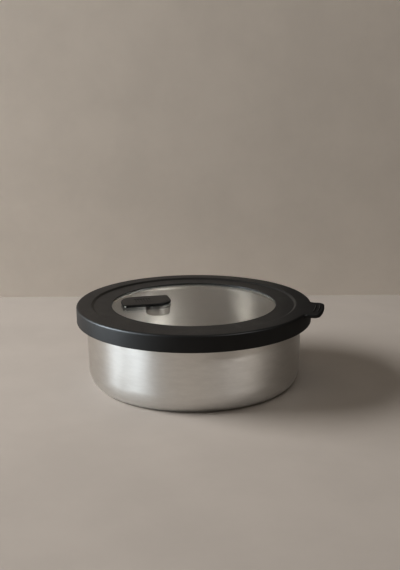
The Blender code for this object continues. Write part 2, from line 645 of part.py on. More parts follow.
def make_vent_stopper(parts, materials, vent):
    """Soft plug under the flap that closes the tube."""
    head_bottom = above_glass(STOPPER_HEAD_BOTTOM)
    head_top = above_glass(STOPPER_HEAD_TOP)
    tip = above_glass(-STOPPER_REACH)
    profile = [
        (0.0, head_top),
        (STOPPER_HEAD_RADIUS, head_top),
        (STOPPER_HEAD_RADIUS, head_bottom),
        (STOPPER_ROOT_RADIUS, head_bottom),
        (STOPPER_TIP_RADIUS, tip),
        (0.0, tip),
    ]
    stopper = turned(
        "vent_stopper", profile, parts, materials["silicone"], vent, closed=False, steps=SMALL_TURN_STEPS
    )
    stopper.location.x = BOSS_DISTANCE


def main():
    """Clear the scene and build the container."""
    for thing in list(bpy.data.objects):
        bpy.data.objects.remove(thing)
    parts = make_collection("stainless_food_container")
    guides = make_collection("cutters")
    materials = {
        "steel": make_material("satin_steel", (0.62, 0.60, 0.57), 0.34, metallic=1.0),
        "ring": make_material("black_ring_plastic", (0.040, 0.039, 0.038), 0.44),
        "frame": make_material("black_frame_plastic", (0.025, 0.024, 0.023), 0.50),
        "vent": make_material("black_vent_plastic", (0.040, 0.039, 0.038), 0.42),
        "glass": make_material("window_glass", (0.93, 0.95, 0.94), 0.02, transmission=1.0),
        "silicone": make_material("grey_silicone", (0.17, 0.17, 0.17), 0.60),
        "clear_silicone": make_material("milky_silicone", (0.62, 0.61, 0.58), 0.45),
        "pin": make_material("bright_steel", (0.70, 0.69, 0.67), 0.22, metallic=1.0),
    }
    vent = make_vent_frame(parts)
    make_bowl(parts, materials)
    make_lid_ring(parts, guides, materials)
    make_lid_seal(parts, materials)
    make_window(parts, guides, materials, vent)
    make_vent_base(parts, guides, materials, vent)
    make_hinge_pin(parts, guides, materials, vent)
    make_vent_fixings(parts, guides, materials, vent)
    make_vent_flap(parts, guides, materials, vent)
    make_vent_stopper(parts, materials, vent)
    bpy.context.view_layer.update()


if __name__ == "__main__":
    main()
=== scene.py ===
"""Dressed model of a round stainless food container: steel bowl, windowed lid and flip-up steam vent.

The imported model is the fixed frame. The bowl stands on the XY plane with its axis on Z, and the lid's
pull tab points along +X. Lengths are in metres and angles in degrees.
"""

import logging
import math
from collections.abc import Sequence
from dataclasses import dataclass, field
from enum import Enum

import bmesh
import bpy
from mathutils import Matrix, Vector


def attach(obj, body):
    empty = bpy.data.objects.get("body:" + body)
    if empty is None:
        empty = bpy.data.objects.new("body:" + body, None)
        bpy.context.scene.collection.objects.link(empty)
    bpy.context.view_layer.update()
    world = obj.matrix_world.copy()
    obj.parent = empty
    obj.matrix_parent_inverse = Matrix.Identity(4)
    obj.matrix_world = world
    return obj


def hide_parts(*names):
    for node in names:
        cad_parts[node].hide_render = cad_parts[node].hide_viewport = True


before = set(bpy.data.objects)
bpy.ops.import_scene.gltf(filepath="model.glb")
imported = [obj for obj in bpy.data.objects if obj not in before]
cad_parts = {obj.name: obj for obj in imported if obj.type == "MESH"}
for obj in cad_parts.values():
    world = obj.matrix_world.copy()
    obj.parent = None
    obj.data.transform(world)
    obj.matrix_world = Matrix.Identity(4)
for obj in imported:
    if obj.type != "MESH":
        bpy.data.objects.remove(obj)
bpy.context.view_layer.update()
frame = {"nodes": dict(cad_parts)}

log = logging.getLogger("food_container")

Point2 = tuple[float, float]
Point3 = tuple[float, float, float]
Colour = tuple[float, float, float]
Span = tuple[float, float]
Thing = bpy.types.Object
Node = bpy.types.Node
Tree = bpy.types.NodeTree
Socket = bpy.types.NodeSocket
Outputs = bpy.types.NodeOutputs
Value = Socket | float | Colour
Values = dict[str, Value] | dict[int, Value]

MM = 0.001
AXIS: Point2 = (0.0, 0.0)
UP = Vector((0.0, 0.0, 1.0))

# Clearance between neighbouring pieces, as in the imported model
GAP = 0.3 * MM

# Points closer than this are welded after a cut, and a circle smaller than this is one point
WELD = 0.002 * MM
NO_RADIUS = 0.001 * MM

# Segments of one full turn, on the large round pieces, on the small ones and on a bead's section
TURN_STEPS = 192
SMALL_TURN_STEPS = 64
BEAD_STEPS = 16

# Points of a rounded edge, both ends included, on a plate's underside, on small edges and on a top edge
LOW_EDGE_POINTS = 5
SMALL_EDGE_POINTS = 6
TOP_EDGE_POINTS = 7

# Share of the radius squared that is left at the blunt ends of a bead
BEAD_END = 0.02

# Edges sharper than this stay crisp in the shading, or get a bevel of a few segments
CRISP_ANGLE = 38.0
BEVEL_SEGMENTS = 2
SOFT_EDGE = 0.15 * MM


class Body(Enum):
    """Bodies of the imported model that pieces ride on."""

    BOWL = "bowl"
    LID = "lid"
    VENT = "vent"


class Cut(Enum):
    """Ways of combining a solid with a tool."""

    REMOVE = "DIFFERENCE"
    JOIN = "UNION"


# Plan and profile points


def arc(centre: Point2, radii: Point2, start: float, end: float, count: int) -> list[Point2]:
    """Points of an elliptical arc between two angles, both ends included."""
    angles = [math.radians(start + (end - start) * step / (count - 1)) for step in range(count)]
    return [(centre[0] + radii[0] * math.cos(a), centre[1] + radii[1] * math.sin(a)) for a in angles]


def round_arc(centre: Point2, radius: float, start: float, end: float, count: int) -> list[Point2]:
    """Points of a round arc, both ends included."""
    return arc(centre, (radius, radius), start, end, count)


def band(inner: float, outer: float, low: float, high: float) -> list[Point2]:
    """Profile of a flat ring between two radii and two heights."""
    return [(inner, high), (outer, high), (outer, low), (inner, low)]


def smooth_step(start: Point2, end: Point2, count: int, upright: bool) -> list[Point2]:
    """Points of a soft S-shaped step between two points.

    Args:
        start: First point.
        end: Last point.
        count: Number of points.
        upright: Whether the points are evenly spaced in height and not in radius.

    Returns:
        The points in order.
    """
    points = []
    for step in range(count):
        even = step / (count - 1)
        soft = (1.0 - math.cos(math.pi * even)) / 2.0
        across, up = (soft, even) if upright else (even, soft)
        points.append((start[0] + (end[0] - start[0]) * across, start[1] + (end[1] - start[1]) * up))
    return points


def eased(share: float) -> float:
    """Share from 0 to 1 with a soft start and a soft end."""
    return share * share * (3.0 - 2.0 * share)


@dataclass(frozen=True)
class EdgePoint:
    """Point of a plan outline with the outward direction there."""

    x: float
    y: float
    out_x: float
    out_y: float

    @property
    def radius(self) -> float:
        """Distance of the point from the axis."""
        return math.hypot(self.x, self.y)

    def inset(self, distance: float, height: float) -> Point3:
        """Point at a distance inside the outline and at a height."""
        return (self.x - self.out_x * distance, self.y - self.out_y * distance, height)

    def at_radius(self, radius: float, height: float) -> Point3:
        """Point in the same direction from the axis, at a radius and a height."""
        angle = math.atan2(self.y, self.x)
        return (radius * math.cos(angle), radius * math.sin(angle), height)


def edge_arc(
    centre: Point2, radius: float, start: float, end: float, count: int, hollow: bool = False
) -> list[EdgePoint]:
    """Outline points of a round corner.

    Args:
        centre: Centre of the corner.
        radius: Radius of the corner.
        start: Angle of the first point.
        end: Angle of the last point.
        count: Number of points.
        hollow: Whether the solid lies outside the arc.

    Returns:
        The points in order.
    """
    reach = -radius if hollow else radius
    points = round_arc(centre, radius, start, end, count)
    return [EdgePoint(x, y, (x - centre[0]) / reach, (y - centre[1]) / reach) for x, y in points]


# Meshes


def lofted(name: str, loops: Sequence[Sequence[Point3]], closed: bool = False) -> Thing:
    """Join neighbouring loops of points with quads that face outward.

    Args:
        name: Name of the new object.
        loops: Loops in order; a loop of one point is a pole.
        closed: Whether the last loop joins the first. If not, the end loops are capped.

    Returns:
        The object, linked to the scene.
    """
    work = bmesh.new()
    rows = [[work.verts.new(point) for point in loop] for loop in loops]
    following = rows[1:] + rows[:1] if closed else rows[1:]
    for first, second in zip(rows, following):
        for i in range(max(len(first), len(second))):
            corners = [first[i % len(first)], first[(i + 1) % len(first)]]
            corners += [second[(i + 1) % len(second)], second[i % len(second)]]
            work.faces.new(list(dict.fromkeys(corners)))
    caps = [] if closed else [row for row in (rows[0], rows[-1]) if len(row) > 1]
    for row in caps:
        work.faces.new(row)
    bmesh.ops.recalc_face_normals(work, faces=work.faces)
    thing = bpy.data.objects.new(name, bpy.data.meshes.new(name))
    work.to_mesh(thing.data)
    work.free()
    bpy.context.scene.collection.objects.link(thing)
    return thing


def circle(radius: float, height: float, steps: int) -> list[Point3]:
    """Points of a level circle round the Z axis, or one point if there is no radius."""
    points = [AXIS] if radius < NO_RADIUS else round_arc(AXIS, radius, 0.0, 360.0, steps + 1)[:-1]
    return [(*point, height) for point in points]


def turned(name: str, profile: Sequence[Point2], closed: bool = True, steps: int = TURN_STEPS) -> Thing:
    """Turn a profile of (radius, height) points about the Z axis."""
    return lofted(name, [circle(radius, height, steps) for radius, height in profile], closed)


def plate(
    name: str, plan: Sequence[EdgePoint], low: float, high: float, low_round: float, high_round: float
) -> Thing:
    """Make a flat piece with rounded edges from a plan outline.

    Args:
        name: Name of the new object.
        plan: Outline of the piece.
        low: Height of the underside.
        high: Height of the top.
        low_round: Radius of the lower edge, or 0.
        high_round: Radius of the upper edge, or 0.

    Returns:
        The object.
    """
    section = [(0.0, low), (0.0, high)]
    if low_round:
        section[:1] = round_arc((low_round, low + low_round), low_round, 270.0, 180.0, LOW_EDGE_POINTS)
    if high_round:
        section[-1:] = round_arc((high_round, high - high_round), high_round, 180.0, 90.0, TOP_EDGE_POINTS)
    return lofted(name, [[point.inset(inset, height) for point in plan] for inset, height in section])


def bar(name: str, radius: float, low: float, high: float) -> Thing:
    """Make a round bar on the Z axis, between two heights."""
    return turned(name, [(0.0, low), (radius, low), (radius, high), (0.0, high)], False, SMALL_TURN_STEPS)


def laid_along_y(thing: Thing) -> Thing:
    """Turn a piece on the Z axis down to the Y axis."""
    thing.data.transform(Matrix.Rotation(math.radians(-90.0), 4, "X"))
    return thing


def shifted(thing: Thing, x: float, y: float) -> Thing:
    """Move a piece sideways."""
    thing.data.transform(Matrix.Translation((x, y, 0.0)))
    return thing


def block(name: str, low: Point3, high: Point3) -> Thing:
    """Make a box-shaped tool between two corners."""
    corners = [(low[0], low[1]), (high[0], low[1]), (high[0], high[1]), (low[0], high[1])]
    return lofted(name, [[(x, y, level) for x, y in corners] for level in (low[2], high[2])])


def bead(name: str, path: Sequence[Point2], level: float, radius: float) -> Thing:
    """Make a round bead with rounded ends along a level path.

    Args:
        name: Name of the new object.
        path: Points of the bead's middle line, seen from above.
        level: Height of the middle line.
        radius: Radius of the bead.

    Returns:
        The object.
    """
    line = [Vector((x, y, level)) for x, y in path]
    lengths = [0.0]
    for first, second in zip(line, line[1:]):
        lengths.append(lengths[-1] + (second - first).length)
    loops = []
    for i, point in enumerate(line):
        ahead = (line[min(i + 1, len(line) - 1)] - line[max(i - 1, 0)]).normalized()
        beside = UP.cross(ahead)
        from_end = min(lengths[i], lengths[-1] - lengths[i]) / radius
        here = radius * math.sqrt(max(BEAD_END, 1.0 - max(0.0, 1.0 - from_end) ** 2))
        section = round_arc(AXIS, here, 0.0, 360.0, BEAD_STEPS + 1)[:-1]
        loops.append([tuple(point + beside * a + UP * b) for a, b in section])
    return lofted(name, loops)


def combine(target: Thing, steps: Sequence[tuple[Cut, Thing]]) -> None:
    """Cut tools out of an object or join them on, remove the tools and clean the mesh.

    Args:
        target: Object that is changed.
        steps: Tools in order, each with what it does.
    """
    for number, (cut, tool) in enumerate(steps):
        boolean = target.modifiers.new(f"step_{number}", "BOOLEAN")
        boolean.operation = cut.value
        boolean.solver = "EXACT"
        boolean.object = tool
    bpy.context.view_layer.update()
    result = bpy.data.meshes.new_from_object(target.evaluated_get(bpy.context.evaluated_depsgraph_get()))
    target.modifiers.clear()
    target.data = result
    for _, tool in steps:
        bpy.data.objects.remove(tool)
    work = bmesh.new()
    work.from_mesh(result)
    bmesh.ops.remove_doubles(work, verts=work.verts, dist=WELD)
    bmesh.ops.dissolve_degenerate(work, edges=work.edges, dist=WELD)
    bmesh.ops.triangulate(work, faces=[face for face in work.faces if len(face.verts) > 4])
    work.to_mesh(result)
    work.free()


def finish_edges(thing: Thing, soften: float) -> None:
    """Shade an object smoothly with crisp edges, which are softened by a small bevel if asked.

    Args:
        thing: Object to finish.
        soften: Width of the bevel on sharp edges, or 0.
    """
    crisp = math.radians(CRISP_ANGLE)
    thing.data.shade_smooth()
    thing.data.set_sharp_from_angle(angle=crisp)
    if soften:
        bevel = thing.modifiers.new("soft_edges", "BEVEL")
        bevel.width = soften
        bevel.segments = BEVEL_SEGMENTS
        bevel.limit_method = "ANGLE"
        bevel.angle_limit = crisp
        bevel.use_clamp_overlap = True
    even = thing.modifiers.new("even_shading", "WEIGHTED_NORMAL")
    even.keep_sharp = True


# Shader nodes


@dataclass(frozen=True)
class Noise:
    """Inputs of a noise node."""

    detail: float
    roughness: float
    distortion: float = 0.0
    scale: float = 1.0


class Nodes:
    """Short calls for adding and joining the nodes of one tree."""

    # Numbers of a Mix node's sockets for colours
    MIX_SHARE, MIX_FIRST, MIX_SECOND, MIX_RESULT = 0, 6, 7, 2

    def __init__(self, tree: Tree) -> None:
        """Start on the node tree of a material or a group."""
        self.tree = tree

    @property
    def shader(self) -> Node:
        """Principled shader of a material."""
        return self.tree.nodes["Principled BSDF"]

    def settle(self, node: Node, values: Values) -> Node:
        """Give inputs of a node their values.

        Args:
            node: Node with the inputs.
            values: Outputs to link or plain values to set, by the inputs' names or numbers.

        Returns:
            The same node.
        """
        for name, value in values.items():
            target = node.inputs[name]
            if isinstance(value, Socket):
                self.tree.links.new(value, target)
            else:
                target.default_value = (*value, 1.0) if target.type == "RGBA" else value
        return node

    def add(self, kind: str, *inputs: Value, **properties: object) -> Node:
        """Add a node.

        Args:
            kind: Blender's name for the kind of node.
            *inputs: Values of its first inputs, in order.
            **properties: Its plain properties.

        Returns:
            The node.
        """
        node = self.tree.nodes.new(kind)
        for name, value in properties.items():
            setattr(node, name, value)
        return self.settle(node, dict(enumerate(inputs)))

    def sockets(self, inputs: Sequence[str], outputs: Sequence[str]) -> tuple[Outputs, Node]:
        """Give a group its sockets, which hold values.

        Args:
            inputs: Names of the inputs.
            outputs: Names of the outputs.

        Returns:
            What comes into the group, and the node that takes what goes out.
        """
        for side, names in (("INPUT", inputs), ("OUTPUT", outputs)):
            for name in names:
                self.tree.interface.new_socket(name, in_out=side, socket_type="NodeSocketFloat")
        return self.add("NodeGroupInput").outputs, self.add("NodeGroupOutput")

    def place(self) -> Socket:
        """Place of a point in its piece's own frame."""
        return self.add("ShaderNodeTexCoord").outputs["Object"]

    def surface(self, name: str) -> Socket:
        """Named fact about the surface at a point."""
        return self.add("ShaderNodeNewGeometry").outputs[name]

    def maths(self, operation: str, first: Value, second: Value) -> Socket:
        """Value worked out from two values."""
        return self.add("ShaderNodeMath", first, second, operation=operation).outputs[0]

    def product(self, first: Socket, *others: Value) -> Socket:
        """Multiply values.

        Args:
            first: First value.
            *others: Values that it is multiplied by.

        Returns:
            The product.
        """
        for other in others:
            first = self.maths("MULTIPLY", first, other)
        return first

    def raised(self, base: Value, mask: Socket, change: float) -> Socket:
        """Value that changes by an amount where a mask is 1."""
        return self.maths("ADD", self.product(mask, change), base)

    def vector(self, operation: str, *items: Value) -> Socket:
        """Vector worked out from vectors."""
        return self.add("ShaderNodeVectorMath", *items, operation=operation).outputs["Vector"]

    def measure(self, operation: str, *items: Value) -> Socket:
        """Value worked out from vectors."""
        return self.add("ShaderNodeVectorMath", *items, operation=operation).outputs["Value"]

    def level_part(self, vector: Socket) -> Socket:
        """Vector without its upright part."""
        return self.vector("MULTIPLY", vector, (1.0, 1.0, 0.0))

    def upright_part(self, vector: Socket) -> Socket:
        """Length of a vector along the Z axis."""
        return self.measure("DOT_PRODUCT", vector, tuple(UP))

    def spread(self, value: Value, span: Span, low: float = 0.0, high: float = 1.0) -> Socket:
        """Value carried smoothly from its range to one from low to high."""
        ends = (*span, low, high)
        return self.add("ShaderNodeMapRange", value, *ends, interpolation_type="SMOOTHSTEP").outputs[0]

    def noise(self, place: Socket, kind: Noise) -> Socket:
        """Noise at a place."""
        values = {name.title(): value for name, value in vars(kind).items()}
        return self.settle(self.add("ShaderNodeTexNoise", place), values).outputs["Fac"]

    def blend(self, share: Value, first: Value, second: Value) -> Socket:
        """Colour between two colours, by the share of the second."""
        values = {self.MIX_SHARE: share, self.MIX_FIRST: first, self.MIX_SECOND: second}
        return self.settle(self.add("ShaderNodeMix", data_type="RGBA"), values).outputs[self.MIX_RESULT]

    def mottle(self, tone: Socket, span: Span, colour: Colour, shade: float) -> Socket:
        """Colour that falls to a shade of itself where a tone is low in its range."""
        deep = tuple(part * shade for part in colour)
        return self.blend(self.spread(tone, span), deep, colour)

    def bump(self, height: Socket, depth: float, strength: float) -> Socket:
        """Normal of a bumpy surface, where a height of 1 stands for the depth."""
        values = {"Strength": strength, "Distance": depth, "Height": height}
        return self.settle(self.add("ShaderNodeBump"), values).outputs["Normal"]

    def open_where(self, mask: Socket, tint: Colour) -> None:
        """Let light pass straight through a material where a mask is 1.

        Args:
            mask: Mask from 0 to 1.
            tint: Colour of the light that has passed.
        """
        passing = self.add("ShaderNodeBsdfTransparent", tint)
        mixed = self.add("ShaderNodeMixShader", mask, self.shader.outputs[0], passing.outputs[0])
        self.settle(self.tree.nodes["Material Output"], {"Surface": mixed.outputs[0]})

    def group(self, effect: "Effect", values: Values) -> Outputs:
        """Outputs of a shared effect with its own values."""
        node = self.add("ShaderNodeGroup", node_tree=EFFECTS.tree(effect))
        return self.settle(node, values).outputs


class Effect(Enum):
    """Surface effects that several finishes share."""

    TURNED_GRAIN = "turned_grain"
    MOULD_TEXTURE = "mould_texture"
    EDGE_WEAR = "edge_wear"
    HANDLING = "handling_marks"
    DUST = "settled_dust"
    FOOD_SIDE = "food_side"


@dataclass(frozen=True)
class Patches:
    """Noise that breaks a mask up, with the range of it that goes from a least value to 1."""

    noise: Noise
    span: Span
    least: float = 0.0


class Effects:
    """Library of the shared effects, each a node group that is built once."""

    # Scratches, their broad tones, and how far the tones are drawn out across the scratches
    SCRATCHES = Noise(3.0, 0.65)
    SCRATCH_TONES = Noise(4.0, 0.7)
    TONE_STRETCH = (1.0, 1.0, 0.06)

    # Mould skin and its broad tones
    SKIN = Noise(3.0, 0.6)
    SKIN_TONES = Noise(4.0, 0.6, scale=0.03)

    # Rubbed patches, smears and the streaks in them, and dust specks and the clouds that they lie in
    PATCHES = {
        Effect.EDGE_WEAR: [Patches(Noise(4.0, 0.65), (0.35, 0.7))],
        Effect.HANDLING: [
            Patches(Noise(3.0, 0.55, distortion=0.8), (0.42, 0.72)),
            Patches(Noise(4.0, 0.7, distortion=0.4, scale=9.0), (0.3, 0.8), least=0.5),
        ],
        Effect.DUST: [
            Patches(Noise(2.0, 0.6), (0.6, 0.74)),
            Patches(Noise(3.0, 0.6, scale=0.03), (0.35, 0.75)),
        ],
    }

    # Pointiness of an outer edge, upward part of a normal that holds dust, and part away from the food
    EDGE_SPAN = (0.52, 0.62)
    UPWARD_SPAN = (0.55, 0.95)
    AWAY_SPAN = (0.2, -0.2)

    def __init__(self) -> None:
        """Start with no group built."""
        self.trees: dict[Effect, Tree] = {}

    def tree(self, effect: Effect) -> Tree:
        """Find the node group of an effect.

        Args:
            effect: Effect that is wanted.

        Returns:
            The group, built at the first call.
        """
        makers = {
            Effect.TURNED_GRAIN: self.make_turned_grain,
            Effect.MOULD_TEXTURE: self.make_mould_texture,
            Effect.FOOD_SIDE: self.make_food_side,
        }
        if effect not in self.trees:
            self.trees[effect] = bpy.data.node_groups.new(effect.value, "ShaderNodeTree")
            nodes = Nodes(self.trees[effect])
            if effect in makers:
                makers[effect](nodes)
            else:
                self.make_mask(nodes, effect)
        return self.trees[effect]

    def make_turned_grain(self, nodes: Nodes) -> None:
        """Make fine scratches that run round the Z axis, as a spinning polish leaves them.

        Args:
            nodes: Helper of the group's tree.
        """
        inputs, result = nodes.sockets(("Lines", "Length"), ("Height", "Tone"))
        place = nodes.place()
        flat = nodes.level_part(place)
        across = nodes.maths("ADD", nodes.measure("LENGTH", flat), nodes.upright_part(place))
        around = nodes.vector("MULTIPLY", nodes.vector("NORMALIZE", flat), inputs["Length"])
        lifted = nodes.vector("MULTIPLY", tuple(UP), nodes.product(across, inputs["Lines"]))
        grain = nodes.vector("ADD", around, lifted)
        tones = nodes.vector("MULTIPLY", grain, self.TONE_STRETCH)
        height, tone = nodes.noise(grain, self.SCRATCHES), nodes.noise(tones, self.SCRATCH_TONES)
        nodes.settle(result, {"Height": height, "Tone": tone})

    def make_mould_texture(self, nodes: Nodes) -> None:
        """Make the fine pebbled skin that a spark-eroded mould leaves.

        Args:
            nodes: Helper of the group's tree.
        """
        inputs, result = nodes.sockets(("Scale",), ("Height", "Tone"))
        place = nodes.vector("MULTIPLY", nodes.place(), inputs["Scale"])
        height, tone = nodes.noise(place, self.SKIN), nodes.noise(place, self.SKIN_TONES)
        nodes.settle(result, {"Height": height, "Tone": tone})

    def make_mask(self, nodes: Nodes, effect: Effect) -> None:
        """Make the mask of rubbed edges, of smears from hands and cloth, or of dust on faces that look up.

        Args:
            nodes: Helper of the group's tree.
            effect: Effect that is made.
        """
        inputs, result = nodes.sockets(("Amount", "Scale"), ("Mask",))
        place = nodes.vector("MULTIPLY", nodes.place(), inputs["Scale"])
        factors = [nodes.spread(nodes.noise(place, p.noise), p.span, p.least) for p in self.PATCHES[effect]]
        if effect is Effect.EDGE_WEAR:
            factors.append(nodes.spread(nodes.surface("Pointiness"), self.EDGE_SPAN))
        if effect is Effect.DUST:
            factors.append(nodes.spread(nodes.upright_part(nodes.surface("Normal")), self.UPWARD_SPAN))
        nodes.settle(result, {"Mask": nodes.product(inputs["Amount"], *factors)})

    def make_food_side(self, nodes: Nodes) -> None:
        """Make the mask of the faces that look up or towards the Z axis.

        Args:
            nodes: Helper of the group's tree.
        """
        _, result = nodes.sockets((), ("Mask",))
        outward = nodes.vector("NORMALIZE", nodes.level_part(nodes.place()))
        away = nodes.vector("SUBTRACT", outward, tuple(UP))
        normal = nodes.add("ShaderNodeTexCoord").outputs["Normal"]
        facing = nodes.measure("DOT_PRODUCT", normal, away)
        nodes.settle(result, {"Mask": nodes.spread(facing, self.AWAY_SPAN)})


EFFECTS = Effects()


# Finishes


def new_material(name: str) -> bpy.types.Material:
    """Make a material with shader nodes.

    Args:
        name: Name of the material.

    Returns:
        The material.
    """
    material = bpy.data.materials.new(name)
    material.use_nodes = True
    return material


@dataclass(frozen=True)
class Finish:
    """Finish of a piece: a material with one Principled shader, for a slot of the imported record."""

    slot: str
    colour: Colour
    roughness: float

    def material(self) -> bpy.types.Material:
        """Find the material of this finish.

        Returns:
            The material, made at the first call.
        """
        name = f"{self.slot}_finish"
        if name not in bpy.data.materials:
            nodes = Nodes(new_material(name).node_tree)
            nodes.settle(nodes.shader, {"Base Color": self.colour, "Roughness": self.roughness})
            nodes.settle(nodes.shader, self.looks(nodes))
        return bpy.data.materials[name]

    def looks(self, nodes: Nodes) -> Values:
        """Values of the shader's inputs; each kind of finish has its own."""
        raise NotImplementedError


@dataclass(frozen=True)
class SatinSteel(Finish):
    """Steel with a fine circular polish, which draws highlights out across the scratches."""

    lines: float = 6000.0
    length: float = 7.0
    depth: float = 0.004 * MM
    strength: float = 0.5
    stretch: float = 0.55
    quarter_turn: float = 0.25
    dull_shade: float = 0.93
    tone_span: Span = (0.25, 0.75)
    rough_span: Span = (0.2, 0.8)
    rough_change: float = 0.03
    smear: float = 0.2
    smear_scale: float = 26.0
    smear_change: float = 0.07
    polish: float = 0.0

    def looks(self, nodes: Nodes) -> Values:
        """Grain and its direction, smears, and the food side's polish.

        Args:
            nodes: Helper of the material's tree.

        Returns:
            Values of the shader's inputs.
        """
        around = nodes.add("ShaderNodeTangent", direction_type="RADIAL", axis="Z")
        grain = nodes.group(Effect.TURNED_GRAIN, {"Lines": self.lines, "Length": self.length})
        smears = nodes.group(Effect.HANDLING, {"Amount": self.smear, "Scale": self.smear_scale})
        food_side = nodes.group(Effect.FOOD_SIDE, {})
        low, high = self.roughness - self.rough_change, self.roughness + self.rough_change
        plain = nodes.spread(grain["Tone"], self.rough_span, low, high)
        smeared = nodes.raised(plain, smears["Mask"], self.smear_change)
        return {
            "Base Color": nodes.mottle(grain["Tone"], self.tone_span, self.colour, self.dull_shade),
            "Metallic": 1.0,
            "Roughness": nodes.raised(smeared, food_side["Mask"], -self.polish),
            "Normal": nodes.bump(grain["Height"], self.depth, self.strength),
            "Anisotropic": self.stretch,
            "Anisotropic Rotation": self.quarter_turn,
            "Tangent": around.outputs["Tangent"],
        }


@dataclass(frozen=True)
class MouldedSkin(Finish):
    """Moulded surface with a fine skin, smears and a little dust."""

    grain_scale: float = 2600.0
    depth: float = 0.02 * MM
    strength: float = 0.3
    deep_shade: float = 0.82
    tone_span: Span = (0.3, 0.7)
    smear_scale: float = 34.0
    smear_change: float = -0.06
    dust: float = 0.12
    speck_scale: float = 1700.0
    dust_colour: Colour = (0.35, 0.33, 0.30)

    def worn_colour(self, nodes: Nodes, colour: Socket) -> Socket:
        """Colour under the dust; a finish that wears changes it."""
        return colour

    def skin_roughness(self, nodes: Nodes, height: Socket) -> Value:
        """Roughness under the smears; a finish whose skin shines unevenly changes it."""
        return self.roughness

    def looks(self, nodes: Nodes) -> Values:
        """Skin, smears and dust.

        Args:
            nodes: Helper of the material's tree.

        Returns:
            Values of the shader's inputs.
        """
        skin = nodes.group(Effect.MOULD_TEXTURE, {"Scale": self.grain_scale})
        smears = nodes.group(Effect.HANDLING, {"Amount": 1.0, "Scale": self.smear_scale})
        dust = nodes.group(Effect.DUST, {"Amount": self.dust, "Scale": self.speck_scale})
        mottled = nodes.mottle(skin["Tone"], self.tone_span, self.colour, self.deep_shade)
        plain = self.skin_roughness(nodes, skin["Height"])
        return {
            "Base Color": nodes.blend(dust["Mask"], self.worn_colour(nodes, mottled), self.dust_colour),
            "Roughness": nodes.raised(plain, smears["Mask"], self.smear_change),
            "Normal": nodes.bump(skin["Height"], self.depth, self.strength),
        }


@dataclass(frozen=True)
class MouldedPlastic(MouldedSkin):
    """Hard plastic whose outer edges are rubbed."""

    shine: float = 0.5
    wear: float = 0.5
    wear_scale: float = 260.0
    worn: Colour = (0.06, 0.06, 0.06)
    rough_span: Span = (0.25, 0.75)
    rough_change: float = 0.03

    def worn_colour(self, nodes: Nodes, colour: Socket) -> Socket:
        """Colour with the rubbed edges."""
        wear = nodes.group(Effect.EDGE_WEAR, {"Amount": self.wear, "Scale": self.wear_scale})
        return nodes.blend(wear["Mask"], colour, self.worn)

    def skin_roughness(self, nodes: Nodes, height: Socket) -> Value:
        """Roughness that follows the skin."""
        low, high = self.roughness - self.rough_change, self.roughness + self.rough_change
        return nodes.spread(height, self.rough_span, low, high)

    def looks(self, nodes: Nodes) -> Values:
        """Skin, smears and dust, and the shine."""
        return super().looks(nodes) | {"Specular IOR Level": self.shine}


@dataclass(frozen=True)
class SoftSilicone(MouldedSkin):
    """Soft silicone that light enters a little way, with clinging dust."""

    grain_scale: float = 1900.0
    depth: float = 0.015 * MM
    strength: float = 0.25
    deep_shade: float = 0.85
    smear_scale: float = 60.0
    smear_change: float = -0.1
    dust: float = 0.25
    speck_scale: float = 2100.0
    dust_colour: Colour = (0.5, 0.48, 0.45)
    see_through: float = 0.15
    reach: float = 1.2 * MM
    reach_colour: Colour = (1.0, 0.9, 0.8)

    def looks(self, nodes: Nodes) -> Values:
        """Skin, smears and dust, and the light that enters."""
        inner = {"Weight": self.see_through, "Radius": self.reach_colour, "Scale": self.reach}
        return super().looks(nodes) | {f"Subsurface {name}": value for name, value in inner.items()}


@dataclass(frozen=True)
class ClearGlass(Finish):
    """Clear window glass with faint smears, which lets light through to what is under it."""

    ior: float = 1.45
    smear_scale: float = 40.0
    haze: float = 0.035
    shadow_tint: Colour = (0.93, 0.94, 0.93)

    def looks(self, nodes: Nodes) -> Values:
        """Clear glass with smears, which casts a pale shadow.

        Args:
            nodes: Helper of the material's tree.

        Returns:
            Values of the shader's inputs.
        """
        nodes.open_where(nodes.add("ShaderNodeLightPath").outputs["Is Shadow Ray"], self.shadow_tint)
        smears = nodes.group(Effect.HANDLING, {"Amount": 1.0, "Scale": self.smear_scale})
        hazy = nodes.raised(self.roughness, smears["Mask"], self.haze)
        return {"Roughness": hazy, "IOR": self.ior, "Transmission Weight": 1.0}


@dataclass(frozen=True)
class Palette:
    """The container's finishes."""

    steel: Finish = SatinSteel("satin_steel", (0.75, 0.735, 0.71), 0.38, stretch=0.65, polish=0.07)
    pin: Finish = SatinSteel("bright_steel", (0.92, 0.91, 0.89), 0.28, stretch=0.0)
    ring: Finish = MouldedPlastic("black_ring_plastic", (0.027, 0.026, 0.025), 0.44, shine=0.3)
    frame: Finish = MouldedPlastic("black_frame_plastic", (0.018, 0.017, 0.016), 0.48)
    vent: Finish = MouldedPlastic("black_vent_plastic", (0.031, 0.030, 0.029), 0.40, shine=0.2)
    glass: Finish = ClearGlass("window_glass", (0.96, 0.955, 0.94), 0.008)
    silicone: Finish = SoftSilicone("grey_silicone", (0.17, 0.17, 0.17), 0.55)
    clear_silicone: Finish = SoftSilicone("milky_silicone", (0.50, 0.49, 0.47), 0.42, see_through=0.5)


# Sub-assemblies


